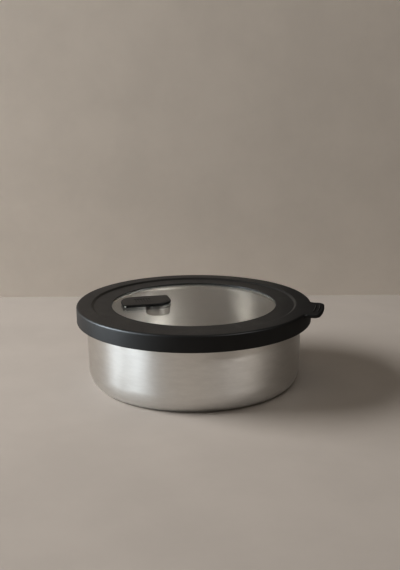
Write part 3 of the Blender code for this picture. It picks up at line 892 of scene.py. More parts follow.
@dataclass
class SubAssembly:
    """Group of pieces that are built and dressed together."""

    palette: Palette
    pieces: list[Thing] = field(default_factory=list)

    def place(self, piece: Thing, node: str, body: Body, finish: Finish, soften: float = 0.0) -> None:
        """Dress a piece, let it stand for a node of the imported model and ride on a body.

        Args:
            piece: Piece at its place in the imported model's frame.
            node: Node that the piece stands for.
            body: Body that the piece rides on.
            finish: Finish of the piece.
            soften: Width of the bevel on sharp edges, or 0.
        """
        finish_edges(piece, soften)
        piece.data.materials.clear()
        piece.data.materials.append(finish.material())
        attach(piece, body.value)
        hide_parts(node)
        self.pieces.append(piece)

    def report(self) -> None:
        """Write each piece and its number of faces to the log."""
        for piece in self.pieces:
            log.info("%s: %d faces", piece.name, len(piece.data.polygons))


@dataclass
class Bowl(SubAssembly):
    """Drawn steel bowl with a flat base, a ledge under the rim and an outward curled rim."""

    sheet: float = 0.8 * MM
    foot_radius: float = 77.3 * MM
    top_radius: float = 77.7 * MM
    floor_ring_share: float = 0.5
    corner_width: float = 7.0 * MM
    corner_height: float = 14.0 * MM
    corner_points: int = 22
    ledge_bottom: float = 46.6 * MM
    ledge_rise: float = 1.3 * MM
    ledge_width: float = 2.0 * MM
    ledge_points: int = 11
    rim_top: float = 54.6 * MM
    curl_radius: float = 1.6 * MM
    curl_end: float = -50.0
    curl_points: int = 24
    tip_points: int = 9

    def curl_centre(self) -> Point2:
        """Centre of the rim's curl."""
        radius = self.top_radius - self.sheet + self.ledge_width + self.curl_radius
        return (radius, self.rim_top - self.curl_radius)

    def sheet_side(self, depth: float) -> list[Point2]:
        """Profile of the sheet at a depth under its food side.

        Args:
            depth: Distance from the food side.

        Returns:
            Points from the floor's centre to the curl's tip.
        """
        outside = self.sheet - depth
        corner = (self.foot_radius - self.corner_width, self.corner_height)
        corner_radii = (self.corner_width - outside, self.corner_height - outside)
        ledge = (self.top_radius - outside, self.ledge_bottom - depth / 2.0)
        ledge_top = (ledge[0] + self.ledge_width, ledge[1] + self.ledge_rise)
        curl = self.curl_radius - depth
        points = [(0.0, outside), (corner[0] * self.floor_ring_share, outside)]
        points += arc(corner, corner_radii, -90.0, 0.0, self.corner_points)
        points += smooth_step(ledge, ledge_top, self.ledge_points, True)
        points += round_arc(self.curl_centre(), curl, 180.0, self.curl_end, self.curl_points)
        return points

    def build(self) -> None:
        """Turn the sheet and close the curl's tip with a round edge."""
        half = self.sheet / 2.0
        tip_centre = round_arc(self.curl_centre(), self.curl_radius - half, self.curl_end, 0.0, 2)[0]
        tip = round_arc(tip_centre, half, self.curl_end, self.curl_end - 180.0, self.tip_points)[1:-1]
        profile = self.sheet_side(0.0) + tip + self.sheet_side(self.sheet)[::-1]
        self.place(turned("bowl", profile, closed=False), "bowl_shell", Body.BOWL, self.palette.steel)


@dataclass
class Lid(SubAssembly):
    """Lid ring with its pull tab, the seal on its plug, and the window with its seal and clamping ring."""

    top: float = 57.5 * MM
    radius: float = 85.0 * MM
    edge_round: float = 1.5 * MM
    edge_steps: int = 7
    skirt_bottom: float = 45.6 * MM
    skirt_thickness: float = 2.4 * MM
    skirt_round: float = 0.7 * MM
    flange_bottom: float = 54.9 * MM
    band_top: float = 56.4 * MM
    band_bottom: float = 54.2 * MM
    step_inner: float = 72.3 * MM
    step_outer: float = 74.5 * MM
    step_points: int = 13
    plug_outer: float = 75.6 * MM
    plug_inner: float = 73.6 * MM
    plug_foot: float = 77.0 * MM
    plug_foot_height: float = 0.8 * MM
    plug_bottom: float = 48.9 * MM
    window_radius: float = 59.6 * MM
    lip_bottom: float = 55.8 * MM
    lip_round: float = 0.4 * MM
    pocket_radius: float = 66.4 * MM
    pocket_outer: float = 68.6 * MM
    bead_reach: float = 0.8 * MM
    bead_top: float = 48.8 * MM
    bead_bottom: float = 48.1 * MM
    tab_reach: float = 9.3 * MM
    tab_half_width: float = 16.3 * MM
    tab_thickness: float = 2.8 * MM
    tab_corner: float = 5.0 * MM
    tab_fillet: float = 4.5 * MM
    tab_round: float = 0.8 * MM
    tab_blend: float = 3.0 * MM
    tab_end_points: int = 8
    tab_corner_points: int = 14
    tab_low_steps: int = 4
    tab_under_steps: int = 3
    tab_under_sink: float = 0.02 * MM
    ridge_insets: tuple[float, float] = (2.8 * MM, 5.8 * MM)
    ridge_half_angle: float = 6.0
    ridge_radius: float = 0.6 * MM
    ridge_height: float = 0.35 * MM
    ridge_points: int = 41
    glass_top: float = 55.5 * MM
    glass_thickness: float = 3.0 * MM
    window_seal_inner: float = 61.2 * MM
    window_seal_thickness: float = 1.0 * MM
    clamp_inner: float = 60.6 * MM
    clamp_top: float = 50.9 * MM
    clamp_thickness: float = 1.8 * MM
    clamp_round: float = 0.5 * MM
    seal_body: float = 1.4 * MM
    seal_lip_reach: float = 1.2 * MM
    seal_lip_height: float = 1.2 * MM
    seal_lip_points: int = 11
    seal_lips: tuple[float, float] = (0.28, 0.72)

    def plan(self) -> list[EdgePoint]:
        """Outline of the ring with its pull tab, seen from above.

        Returns:
            Points anticlockwise from the middle of the tab's end.
        """
        end = self.radius + self.tab_reach
        corner_y = self.tab_half_width - self.tab_corner
        corner_x = math.sqrt((end - self.tab_corner) ** 2 - corner_y**2)
        corner_start = math.degrees(math.atan2(corner_y, corner_x))
        fillet_y = self.tab_half_width + self.tab_fillet
        fillet_x = math.sqrt((self.radius + self.tab_fillet) ** 2 - fillet_y**2)
        fillet_end = math.degrees(math.atan2(fillet_y, fillet_x))
        corner, fillet, count = (corner_x, corner_y), (fillet_x, fillet_y), self.tab_corner_points
        half = edge_arc(AXIS, end, 0.0, corner_start, self.tab_end_points)[:-1]
        half += edge_arc(corner, self.tab_corner, corner_start, 90.0, count)
        half += edge_arc(fillet, self.tab_fillet, 270.0, 180.0 + fillet_end, count, hollow=True)
        half += edge_arc(AXIS, self.radius, fillet_end, 180.0, TURN_STEPS // 2)[1:]
        other = [EdgePoint(p.x, -p.y, p.out_x, -p.out_y) for p in reversed(half[1:-1])]
        return half + other

    def edge_loops(self, plan: Sequence[EdgePoint]) -> list[list[Point3]]:
        """Loops of the outer edge, from the flat top over the rounded edge and under the tab to the skirt.

        Each loop under the tab sinks a little, so that the loops stay apart where there is no tab.

        Args:
            plan: Outline of the ring and the tab.

        Returns:
            Loops in order.
        """
        tab_bottom = self.top - self.tab_thickness
        reach = [max(0.0, point.radius - self.radius) for point in plan]
        shares = [eased(min(1.0, out / self.tab_blend)) for out in reach]
        rounds = [self.edge_round + (self.tab_round - self.edge_round) * share for share in shares]
        under = [min(self.tab_round, out / 2.0) for out in reach]
        loops = []
        for x, y in round_arc((1.0, 0.0), 1.0, 90.0, 180.0, self.edge_steps + 1):
            loops.append([p.inset(r * x, self.top - r * (1.0 - y)) for p, r in zip(plan, rounds)])
        for k, (x, y) in enumerate(round_arc((1.0, 1.0), 1.0, 180.0, 270.0, self.tab_low_steps + 1)):
            level = tab_bottom - k * self.tab_under_sink
            loops.append([p.inset(r * x, level + r * y) for p, r in zip(plan, under)])
        for k in range(1, self.tab_under_steps + 1):
            level = tab_bottom - (self.tab_low_steps + k) * self.tab_under_sink
            starts = [Vector(p.inset(r, level)) for p, r in zip(plan, under)]
            ends = [Vector(p.at_radius(self.radius, level)) for p in plan]
            loops.append([tuple(a.lerp(b, k / self.tab_under_steps)) for a, b in zip(starts, ends)])
        return loops

    def build_ring(self) -> None:
        """Build the ring: lip, stepped top, edge with the tab, skirt, plug, pocket and grip ridges."""
        skirt_inner = self.radius - self.skirt_thickness
        lip = (self.window_radius + self.lip_round, self.band_top - self.lip_round)
        skirt_edge = (self.radius - self.skirt_round, self.skirt_bottom + self.skirt_round)
        inner_edge = (skirt_inner + self.skirt_round, self.skirt_bottom + self.skirt_round)
        step_start, step_end = (self.step_inner, self.band_top), (self.step_outer, self.top)
        top_side = round_arc(lip, self.lip_round, 180.0, 90.0, TOP_EDGE_POINTS)
        top_side += smooth_step(step_start, step_end, self.step_points, False)
        top_side += [(self.radius - 2.0 * self.edge_round, self.top)]
        under_side = round_arc(skirt_edge, self.skirt_round, 0.0, -90.0, SMALL_EDGE_POINTS)
        under_side += round_arc(inner_edge, self.skirt_round, -90.0, -180.0, SMALL_EDGE_POINTS)
        foot_top = self.plug_bottom + self.plug_foot_height
        bead_inner = self.pocket_radius - self.bead_reach
        under_side += [
            (skirt_inner, self.flange_bottom),
            (self.plug_outer, self.flange_bottom),
            (self.plug_outer, foot_top),
            (self.plug_foot, foot_top),
            (self.plug_foot, self.plug_bottom),
            (self.plug_inner, self.plug_bottom),
            (self.plug_inner, self.band_bottom),
            (self.pocket_outer, self.band_bottom),
            (self.pocket_outer, self.bead_bottom),
            (self.pocket_radius, self.bead_bottom),
            (bead_inner, (self.bead_top + self.bead_bottom) / 2.0),
            (bead_inner, self.bead_top),
            (self.pocket_radius, self.bead_top),
            (self.pocket_radius, self.lip_bottom),
            (self.window_radius, self.lip_bottom),
        ]
        plan = self.plan()
        top_loops = [[p.at_radius(r, z) for p in plan] for r, z in top_side]
        under_loops = [[p.at_radius(r, z) for p in plan] for r, z in under_side]
        piece = lofted("lid_frame", top_loops + self.edge_loops(plan) + under_loops, closed=True)
        level = self.top + self.ridge_height - self.ridge_radius
        half_angle = self.ridge_half_angle
        ridges = []
        for inset in self.ridge_insets:
            radius = self.radius + self.tab_reach - inset
            path = round_arc(AXIS, radius, -half_angle, half_angle, self.ridge_points)
            ridges.append((Cut.JOIN, bead("grip_ridge", path, level, self.ridge_radius)))
        combine(piece, ridges)
        self.place(piece, "lid_ring", Body.LID, self.palette.ring, SOFT_EDGE)

    def build_seal(self) -> None:
        """Build the silicone ring on the plug, with two soft lips that face the bowl's neck."""
        bottom = self.plug_bottom + self.plug_foot_height + GAP
        top = self.flange_bottom - GAP
        inner = self.plug_outer + GAP
        face = inner + self.seal_body
        lip_radii = (self.seal_lip_reach, self.seal_lip_height / 2.0)
        points = [(inner, top), (face, top)]
        for share in reversed(self.seal_lips):
            middle = (face, bottom + (top - bottom) * share)
            points += arc(middle, lip_radii, 90.0, -90.0, self.seal_lip_points)
        points += [(face, bottom), (inner, bottom)]
        self.place(turned("lid_seal_ring", points), "lid_seal", Body.LID, self.palette.silicone, SOFT_EDGE)

    def build_window_fixings(self) -> None:
        """Build the seal under the glass and the ring that clamps it."""
        outer = self.pocket_radius - GAP
        seal_top = self.glass_top - self.glass_thickness - GAP
        seal_bottom = seal_top - self.window_seal_thickness
        seal = turned("glass_seal", band(self.window_seal_inner, outer, seal_bottom, seal_top))
        self.place(seal, "window_seal", Body.LID, self.palette.clear_silicone, SOFT_EDGE)
        clamp_bottom = self.clamp_top - self.clamp_thickness
        inner_edge = (self.clamp_inner + self.clamp_round, clamp_bottom + self.clamp_round)
        profile = band(self.clamp_inner, outer, clamp_bottom, self.clamp_top)[:-1]
        profile += round_arc(inner_edge, self.clamp_round, 270.0, 180.0, SMALL_EDGE_POINTS)
        clamp = turned("clamp_ring", profile)
        self.place(clamp, "retaining_ring", Body.LID, self.palette.steel, SOFT_EDGE)

    def dress_glass(self) -> None:
        """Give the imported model's own pane, whose flat shape is right, the glass finish."""
        pane = frame["nodes"]["window_pane"]
        pane.data.materials.clear()
        pane.data.materials.append(self.palette.glass.material())
        self.pieces.append(pane)

    def build(self) -> None:
        """Build every piece of the lid but the vent."""
        self.build_ring()
        self.build_seal()
        self.build_window_fixings()
        self.dress_glass()


@dataclass
class Vent(SubAssembly):
    """Steam vent on the glass: a flap on a hinge pin, its base with a tube, and what holds and plugs it.

    It is built in its own frame, with the origin on the hinge pin, the pin along Y and the flap along +X.
    """

    centre: Point2 = (-34.8 * MM, -5.3 * MM)
    turn: float = 27.3
    glass_top: float = 55.5 * MM
    glass_thickness: float = 3.0 * MM
    length: float = 36.4 * MM
    width: float = 23.6 * MM
    top: float = 2.2 * MM
    skin: float = 0.9 * MM
    wall: float = 1.2 * MM
    wide_radius: float = 11.0 * MM
    wide_points: int = 25
    tight_radius: float = 2.4 * MM
    tight_points: int = 13
    top_round: float = 0.7 * MM
    low_round: float = 0.4 * MM
    pocket_start: float = 1.6 * MM
    notch_length: float = 1.5 * MM
    notch_width: float = 7.6 * MM
    notch_height: float = 0.9 * MM
    lift_ridge_inset: float = 2.6 * MM
    lift_ridge_start: float = -78.0
    lift_ridge_end: float = -4.0
    lift_ridge_radius: float = 0.7 * MM
    lift_ridge_height: float = 0.14 * MM
    lift_ridge_points: int = 33
    groove_start: float = 9.5 * MM
    groove_count: int = 6
    groove_pitch: float = 2.1 * MM
    groove_half_length: float = 4.6 * MM
    groove_radius: float = 0.65 * MM
    groove_depth: float = 0.5 * MM
    groove_steps: int = 24
    hinge_middle: float = -4.5 * MM
    ear_inner: float = 1.9 * MM
    ear_width: float = 2.0 * MM
    ear_radius: float = 0.85 * MM
    ear_cover: float = 0.08 * MM
    ear_foot_back: float = 0.5 * MM
    ear_foot_reach: float = 2.6 * MM
    ear_foot_inset: float = 0.02 * MM
    pin_radius: float = 0.4 * MM
    pin_bore: float = 0.62 * MM
    pin_head: float = 0.75 * MM
    pin_head_thickness: float = 0.5 * MM
    pin_head_rim: float = 0.1 * MM
    pin_dome_points: int = 9
    pin_chamfer: float = 0.12 * MM
    pin_reach: float = 1.8 * MM
    base_thickness: float = 0.5 * MM
    base_inset: float = 1.6 * MM
    base_start: float = 2.1 * MM
    base_round: float = 0.15 * MM
    tube_distance: float = 26.0 * MM
    tube_radius: float = 5.0 * MM
    tube_bore: float = 2.6 * MM
    tube_length: float = 11.0 * MM
    gasket_thickness: float = 0.8 * MM
    gasket_radius: float = 8.6 * MM
    gasket_soft_edge: float = 0.12 * MM
    nut_thickness: float = 6.1 * MM
    nut_radius: float = 9.0 * MM
    nut_round: float = 1.4 * MM
    nut_holes: int = 4
    nut_hole_circle: float = 6.6 * MM
    nut_hole_radius: float = 0.7 * MM
    nut_hole_depth: float = 2.0 * MM
    plug_head: float = 3.4 * MM
    plug_head_thickness: float = 0.4 * MM
    plug_root: float = 2.0 * MM
    plug_tip: float = 1.5 * MM
    plug_tip_round: float = 0.5 * MM
    plug_reach: float = 2.0 * MM
    plug_soft_edge: float = 0.1 * MM

    @property
    def nose(self) -> float:
        """Half of the flap's thickness, which is the heel's reach behind the hinge pin."""
        return (self.top - GAP) / 2.0

    @property
    def end(self) -> float:
        """Distance from the hinge pin to the flap's lifting end."""
        return self.length - self.nose

    @property
    def plug_bottom(self) -> float:
        """Height of the plug head's underside over the glass."""
        return 2.0 * GAP + self.base_thickness

    @property
    def pin_head_face(self) -> float:
        """Position of the pin head's inner face along the hinge."""
        return -self.width / 2.0 - GAP

    @property
    def pin_end(self) -> float:
        """Position of the pin's far end along the hinge."""
        return self.hinge_middle + self.ear_inner + self.ear_width + self.pin_reach

    def ear_spans(self, margin: float) -> list[Span]:
        """Stretches of the hinge that the two ears take up.

        Args:
            margin: Length that is added at both sides of an ear.

        Returns:
            Start and end of each stretch.
        """
        near, far = self.ear_inner - margin, self.ear_inner + self.ear_width + margin
        middle = self.hinge_middle
        return [(middle - far, middle - near), (middle + near, middle + far)]

    def level(self, height: float) -> float:
        """Height over the glass, carried to the vent's own frame."""
        return height - (self.top + GAP) / 2.0

    def to_place(self, thing: Thing) -> Thing:
        """Carry a piece from the vent's own frame to its place on the glass.

        Args:
            thing: Piece that is carried.

        Returns:
            The same piece.
        """
        turn = math.radians(self.turn)
        to_hinge = self.length / 2.0 - self.nose
        x = self.centre[0] - to_hinge * math.cos(turn)
        y = self.centre[1] - to_hinge * math.sin(turn)
        z = self.glass_top - self.level(0.0)
        thing.data.transform(Matrix.Translation((x, y, z)) @ Matrix.Rotation(turn, 4, "Z"))
        return thing

    def over_tube(self, thing: Thing) -> Thing:
        """Carry a piece from the hinge to the tube's axis."""
        return shifted(thing, self.tube_distance, 0.0)

    def plan(self, start: float, inset: float) -> list[EdgePoint]:
        """Outline of a piece of the vent, seen from above.

        Args:
            start: Distance from the hinge pin to the piece's near end.
            inset: Distance inside the flap's own outline.

        Returns:
            Points anticlockwise.
        """
        end = self.end - inset
        half = self.width / 2.0 - inset
        wide = self.wide_radius - inset
        tight = self.tight_radius - inset
        points = edge_arc((end - wide, wide - half), wide, -90.0, 0.0, self.wide_points)
        points += edge_arc((end - tight, half - tight), tight, 0.0, 90.0, self.tight_points)
        points += edge_arc((start + wide, half - wide), wide, 90.0, 180.0, self.wide_points)
        points += edge_arc((start + tight, tight - half), tight, 180.0, 270.0, self.tight_points)
        return points

    def flap_tools(self) -> list[Thing]:
        """Tools that hollow the flap and make room for the ears, the pin, the plug and a fingernail.

        Returns:
            The tools in order.
        """
        low, below = self.level(GAP), self.level(-GAP)
        ceiling, cover = self.level(self.top - self.skin), self.level(self.top - self.ear_cover)
        tools = [plate("pocket", self.plan(self.pocket_start, self.wall), below, ceiling, 0.0, 0.0)]
        for near, far in self.ear_spans(GAP):
            notch_low = (-self.nose - GAP, near, below)
            tools.append(block("ear_notch", notch_low, (self.pocket_start + GAP, far, cover)))
        tools.append(laid_along_y(bar("heel_bore", self.pin_bore, self.pin_head_face, self.pin_end + GAP)))
        socket_top = self.level(self.plug_bottom + self.plug_head_thickness + GAP)
        tools.append(self.over_tube(bar("plug_socket", self.plug_head + GAP, low, socket_top)))
        nail_middle = (self.wide_radius - self.tight_radius) / 2.0
        half_notch = self.notch_width / 2.0
        nail_low = (self.end - self.notch_length, nail_middle - half_notch, below)
        nail_high = (self.end + self.notch_length, nail_middle + half_notch, low + self.notch_height)
        tools.append(block("nail_notch", nail_low, nail_high))
        return tools

    def groove_tools(self, high: float) -> list[Thing]:
        """Tools for the row of grooves on the flap.

        Args:
            high: Level of the flap's top.

        Returns:
            The tools in order.
        """
        level = high + self.groove_radius - self.groove_depth
        shares = [2.0 * step / self.groove_steps - 1.0 for step in range(self.groove_steps + 1)]
        spots = [self.groove_half_length * share for share in shares]
        places = [self.groove_start + number * self.groove_pitch for number in range(self.groove_count)]
        return [bead("groove", [(x, y) for y in spots], level, self.groove_radius) for x in places]

    def build_flap(self) -> None:
        """Build the hollow flap with its grooves and its lifting ridge."""
        high = self.level(self.top)
        outline = self.plan(-self.nose, 0.0)
        flap = plate("vent_lid", outline, self.level(GAP), high, self.low_round, self.top_round)
        steps = [(Cut.REMOVE, tool) for tool in self.flap_tools() + self.groove_tools(high)]
        ridge_centre = (self.end - self.wide_radius, self.wide_radius - self.width / 2.0)
        ridge_radius = self.wide_radius - self.lift_ridge_inset
        start, end, count = self.lift_ridge_start, self.lift_ridge_end, self.lift_ridge_points
        path = round_arc(ridge_centre, ridge_radius, start, end, count)
        level = high + self.lift_ridge_height - self.lift_ridge_radius
        steps.append((Cut.JOIN, bead("lift_ridge", path, level, self.lift_ridge_radius)))
        combine(flap, steps)
        self.place(self.to_place(flap), "vent_flap", Body.VENT, self.palette.vent)

    def build_base(self) -> None:
        """Build the plate on the glass with two hinge ears and a tube through the glass."""
        low = self.level(GAP)
        high = low + self.base_thickness
        outline = self.plan(self.base_start, self.base_inset)
        base = plate("vent_seat", outline, low, high, 0.0, self.base_round)
        steps = []
        for near, far in self.ear_spans(0.0):
            foot_low = (-self.ear_foot_back, near, low + self.ear_foot_inset)
            foot_high = (self.ear_foot_reach, far, high - self.ear_foot_inset)
            steps.append((Cut.JOIN, block("ear_foot", foot_low, foot_high)))
            steps.append((Cut.JOIN, laid_along_y(bar("ear", self.ear_radius, near, far))))
        tube_bottom = self.level(-self.tube_length)
        tube = bar("tube", self.tube_radius, tube_bottom, low + self.base_thickness / 2.0)
        steps.append((Cut.JOIN, self.over_tube(tube)))
        tube_bore = bar("tube_bore", self.tube_bore, tube_bottom - GAP, high + GAP)
        steps.append((Cut.REMOVE, self.over_tube(tube_bore)))
        ear_bore = bar("ear_bore", self.pin_bore, self.pin_head_face, self.pin_end)
        steps.append((Cut.REMOVE, laid_along_y(ear_bore)))
        combine(base, steps)
        self.place(self.to_place(base), "vent_base", Body.LID, self.palette.frame)

    def build_pin(self) -> None:
        """Build the pin through the ears and the flap's heel, with a domed head and a chamfered end."""
        dome_base = self.pin_head_face - self.pin_head_rim
        dome_radii = (self.pin_head, self.pin_head_thickness - self.pin_head_rim)
        profile = arc((0.0, dome_base), dome_radii, -90.0, 0.0, self.pin_dome_points)
        profile += [
            (self.pin_head, self.pin_head_face),
            (self.pin_radius, self.pin_head_face),
            (self.pin_radius, self.pin_end - self.pin_chamfer),
            (self.pin_radius - self.pin_chamfer, self.pin_end),
            (0.0, self.pin_end),
        ]
        pin = laid_along_y(turned("hinge_pin", profile, False, SMALL_TURN_STEPS))
        self.place(self.to_place(pin), "vent_hinge_pin", Body.LID, self.palette.pin)

    def build_fixings(self) -> None:
        """Build the washer and the tall nut on the tube under the glass, with holes for a pin wrench."""
        inner = self.tube_radius + GAP
        gasket_top = self.level(-self.glass_thickness) - GAP
        gasket_bottom = gasket_top - self.gasket_thickness
        washer_profile = band(inner, self.gasket_radius, gasket_bottom, gasket_top)
        washer = self.over_tube(turned("vent_washer", washer_profile, True, SMALL_TURN_STEPS))
        finish = self.palette.clear_silicone
        self.place(self.to_place(washer), "vent_gasket", Body.LID, finish, self.gasket_soft_edge)
        nut_top = gasket_bottom - GAP
        nut_bottom = nut_top - self.nut_thickness
        edge = (self.nut_radius - self.nut_round, nut_bottom + self.nut_round)
        nut_profile = [(inner, nut_top), (self.nut_radius, nut_top)]
        nut_profile += round_arc(edge, self.nut_round, 0.0, -90.0, SMALL_EDGE_POINTS)
        nut_profile += [(inner, nut_bottom)]
        nut = turned("tall_nut", nut_profile, True, SMALL_TURN_STEPS)
        hole_top = nut_bottom + self.nut_hole_depth
        steps = []
        for x, y, _ in circle(self.nut_hole_circle, nut_bottom, self.nut_holes):
            hole = bar("nut_hole", self.nut_hole_radius, nut_bottom - GAP, hole_top)
            steps.append((Cut.REMOVE, shifted(hole, x, y)))
        combine(nut, steps)
        self.place(self.to_place(self.over_tube(nut)), "vent_nut", Body.LID, self.palette.steel)

    def build_plug(self) -> None:
        """Build the soft plug under the flap that closes the tube."""
        head_low = self.level(self.plug_bottom)
        head_high = head_low + self.plug_head_thickness
        tip = self.level(-self.plug_reach)
        tip_edge = (self.plug_tip - self.plug_tip_round, tip + self.plug_tip_round)
        profile = [(0.0, head_high), (self.plug_head, head_high), (self.plug_head, head_low)]
        profile += [(self.plug_root, head_low)]
        profile += round_arc(tip_edge, self.plug_tip_round, 0.0, -90.0, SMALL_EDGE_POINTS)
        profile += [(0.0, tip)]
        plug = self.over_tube(turned("vent_plug", profile, False, SMALL_TURN_STEPS))
        finish = self.palette.silicone
        self.place(self.to_place(plug), "vent_stopper", Body.VENT, finish, self.plug_soft_edge)

    def build(self) -> None:
        """Build every piece of the vent."""
        self.build_base()
        self.build_pin()
        self.build_fixings()
        self.build_flap()
        self.build_plug()


# Studio


class Seen(Enum):
    """What a light of the studio reaches."""

    BY_MATT = "matt surfaces"
    IN_REFLECTIONS = "reflections"


# Colours of the lights
DAYLIGHT: Colour = (1.0, 1.0, 1.0)
COOL: Colour = (0.82, 0.92, 1.0)
WARM: Colour = (1.0, 0.93, 0.84)


@dataclass(frozen=True)
class SoftLight:
    """Soft light at an angle to the right of the camera, which faces the container's axis or tilts down.

    It reaches every piece, or only the pieces that it names.
    """

    name: str
    azimuth: float
    distance: float
    height: float
    size: Point2
    power: float
    colour: Colour
    seen: Seen = Seen.IN_REFLECTIONS
    tilt: float = 0.0
    pieces: tuple[str, ...] = ()


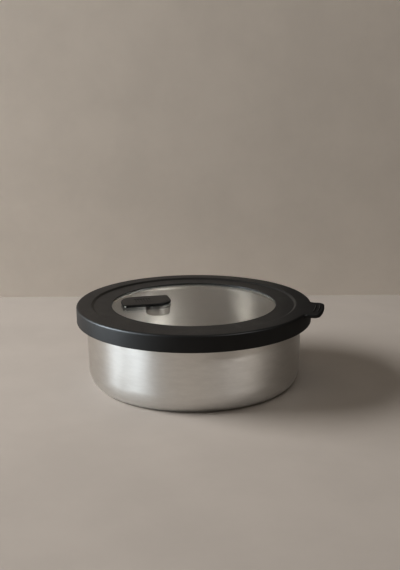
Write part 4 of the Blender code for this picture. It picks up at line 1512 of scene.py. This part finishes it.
@dataclass
class Studio:
    """Plain pale floor and backdrop, soft lights round the container, a dark card that paints shade into
    reflections, and the camera.
    """

    view_azimuth: float = 14.0
    camera_place: Point3 = (0.15350, -0.59671, 0.22164)
    camera_pitch: float = 76.141
    camera_roll: float = -0.35
    lens: float = 55.21
    sensor: float = 36.0
    exposure: float = 0.40
    contrast: float = 0.80
    floor_size: float = 6.0
    floor_colour: Colour = (0.60, 0.553, 0.51)
    backdrop_distance: float = 0.236
    backdrop_size: Point2 = (6.0, 3.0)
    backdrop_colour: Colour = (0.95, 0.893, 0.825)
    # Dark card that only reflections see: painted shade on the right side of the steel, standing in for a
    # dark room there
    card_azimuth: float = 122.0
    card_distance: float = 0.20
    card_size: Point2 = (0.34, 0.40)
    card_colour: Colour = (0.02, 0.018, 0.016)
    sheet_roughness: float = 0.75
    sheet_shine: float = 0.25
    clouds: Noise = Noise(5.0, 0.6, scale=14.0)
    cloud_span: Span = (0.3, 0.7)
    cloud_shade: float = 0.95
    room_colour: Colour = (1.0, 0.88, 0.75)
    room_strength: float = 0.05
    lights: tuple[SoftLight, ...] = (
        SoftLight("soft_window", -93.0, 1.35, 0.93, (0.95, 0.85), 25.5, DAYLIGHT, Seen.BY_MATT),
        SoftLight("ceiling", 0.0, 0.0, 1.50, (1.60, 1.60), 4.2, WARM, Seen.BY_MATT, tilt=90.0),
        SoftLight("far_window_glow", -84.0, 1.10, 0.14, (0.30, 0.26), 2.35, COOL),
        SoftLight("near_window_glow", -59.0, 1.10, 0.14, (0.38, 0.26), 2.15, COOL),
        SoftLight("high_window_glow", -50.0, 1.10, 0.45, (0.40, 0.30), 0.90, COOL),
        SoftLight("room_glow", 50.0, 1.10, 1.02, (0.36, 0.36), 13.0, DAYLIGHT),
        SoftLight("front_glow", -8.0, 1.10, 0.14, (0.95, 0.26), 0.55, WARM, pieces=("bowl",)),
        SoftLight("right_glow", 58.0, 1.10, 0.14, (0.45, 0.26), 0.40, WARM, pieces=("bowl",)),
        SoftLight("ring_glow", -82.0, 1.10, 0.40, (0.66, 0.80), 38.0, COOL, pieces=("lid_frame",)),
    )

    def around(self, azimuth: float) -> Vector:
        """Level direction at an angle to the right of the direction to the camera."""
        turn = math.radians(self.view_azimuth + azimuth)
        return Vector((math.sin(turn), -math.cos(turn), 0.0))

    def sheet(self, name: str, corners: Sequence[Vector], colour: Colour) -> Thing:
        """Make a flat, matt sheet of the stage.

        Args:
            name: Name of the sheet and of its material.
            corners: Its four corners.
            colour: Its colour.

        Returns:
            The sheet.
        """
        material = new_material(name)
        nodes = Nodes(material.node_tree)
        cloud = nodes.noise(nodes.place(), self.clouds)
        mottled = nodes.mottle(cloud, self.cloud_span, colour, self.cloud_shade)
        matt = {"Roughness": self.sheet_roughness, "Specular IOR Level": self.sheet_shine}
        nodes.settle(nodes.shader, {"Base Color": mottled, **matt})
        mesh = bpy.data.meshes.new(name)
        mesh.from_pydata([tuple(corner) for corner in corners], [], [(0, 1, 2, 3)])
        mesh.materials.append(material)
        thing = bpy.data.objects.new(name, mesh)
        bpy.context.scene.collection.objects.link(thing)
        return thing

    def standing_sheet(self, name: str, foot: Vector, size: Point2, colour: Colour) -> Thing:
        """Make an upright sheet that faces the container and that only the camera and reflections see.

        Args:
            name: Name of the sheet.
            foot: Middle of its lower edge.
            size: Its width and height.
            colour: Its colour.

        Returns:
            The sheet.
        """
        side = UP.cross(foot).normalized() * size[0] / 2.0
        up = UP * size[1]
        thing = self.sheet(name, [foot + side, foot - side, foot - side + up, foot + side + up], colour)
        thing.visible_diffuse = False
        thing.visible_shadow = False
        return thing

    def build_stage(self) -> None:
        """Build the floor, a backdrop that is clear from behind, and a dark card that only reflections see,
        as painted shade on the steel's right side.
        """
        half = self.floor_size / 2.0
        corners = [Vector((x * half, y * half, 0.0)) for x, y in ((-1, -1), (1, -1), (1, 1), (-1, 1))]
        self.sheet("floor", corners, self.floor_colour)
        backdrop_foot = self.around(180.0) * self.backdrop_distance
        backdrop = self.standing_sheet("backdrop", backdrop_foot, self.backdrop_size, self.backdrop_colour)
        nodes = Nodes(backdrop.active_material.node_tree)
        nodes.open_where(nodes.surface("Backfacing"), DAYLIGHT)
        # The dark card paints shade into the reflections on the right side of the steel
        card_foot = self.around(self.card_azimuth) * self.card_distance
        card = self.standing_sheet("dark_card", card_foot, self.card_size, self.card_colour)
        card.visible_camera = False
        card.visible_transmission = False

    def soft_light(self, light: SoftLight) -> None:
        """Add a soft light.

        Args:
            light: Place, size, power and reach of the light.
        """
        data = bpy.data.lights.new(light.name, "AREA")
        data.shape = "RECTANGLE"
        data.size, data.size_y = light.size
        data.energy = light.power
        data.color = light.colour
        thing = bpy.data.objects.new(light.name, data)
        outward = self.around(light.azimuth)
        thing.location = outward * light.distance + UP * light.height
        tilt = math.radians(light.tilt)
        aim = -UP * math.sin(tilt) - outward * math.cos(tilt)
        thing.rotation_euler = aim.to_track_quat("-Z", "Y").to_euler()
        thing.visible_camera = False
        thing.visible_diffuse = light.seen is Seen.BY_MATT
        thing.visible_glossy = light.seen is Seen.IN_REFLECTIONS
        thing.visible_transmission = light.seen is Seen.IN_REFLECTIONS
        bpy.context.scene.collection.objects.link(thing)
        if light.pieces:
            reached = bpy.data.collections.new(f"{light.name}_pieces")
            for name in light.pieces:
                reached.objects.link(bpy.data.objects[name])
            thing.light_linking.receiver_collection = reached

    def build_light(self) -> None:
        """Add the soft lights and a weak, even light from the room."""
        for light in self.lights:
            self.soft_light(light)
        world = bpy.data.worlds.new("room")
        world.use_nodes = True
        nodes = Nodes(world.node_tree)
        room = {"Color": self.room_colour, "Strength": self.room_strength}
        nodes.settle(world.node_tree.nodes["Background"], room)
        bpy.context.scene.world = world

    def build_camera(self) -> None:
        """Add the camera at the viewing angle of the picture, and set the picture's brightness."""
        data = bpy.data.cameras.new("camera")
        data.sensor_width = self.sensor
        data.lens = self.lens
        camera = bpy.data.objects.new("camera", data)
        turn = Matrix.Rotation(math.radians(self.view_azimuth), 4, "Z")
        tilt = Matrix.Rotation(math.radians(self.camera_pitch), 4, "X")
        roll = Matrix.Rotation(math.radians(self.camera_roll), 4, "Z")
        camera.matrix_world = Matrix.Translation(self.camera_place) @ turn @ tilt @ roll
        bpy.context.scene.collection.objects.link(camera)
        bpy.context.scene.camera = camera
        view = bpy.context.scene.view_settings
        view.view_transform = "Standard"
        view.exposure = self.exposure
        view.gamma = self.contrast

    def build(self) -> None:
        """Build the stage, the light and the camera."""
        self.build_stage()
        self.build_light()
        self.build_camera()


def main() -> None:
    """Build the container and the studio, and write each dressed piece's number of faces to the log."""
    logging.basicConfig(level=logging.INFO, format="%(name)s: %(message)s")
    palette = Palette()
    for assembly in (Bowl(palette), Lid(palette), Vent(palette)):
        assembly.build()
        assembly.report()
    Studio().build()
    bpy.context.view_layer.update()


if __name__ == "__main__":
    main()
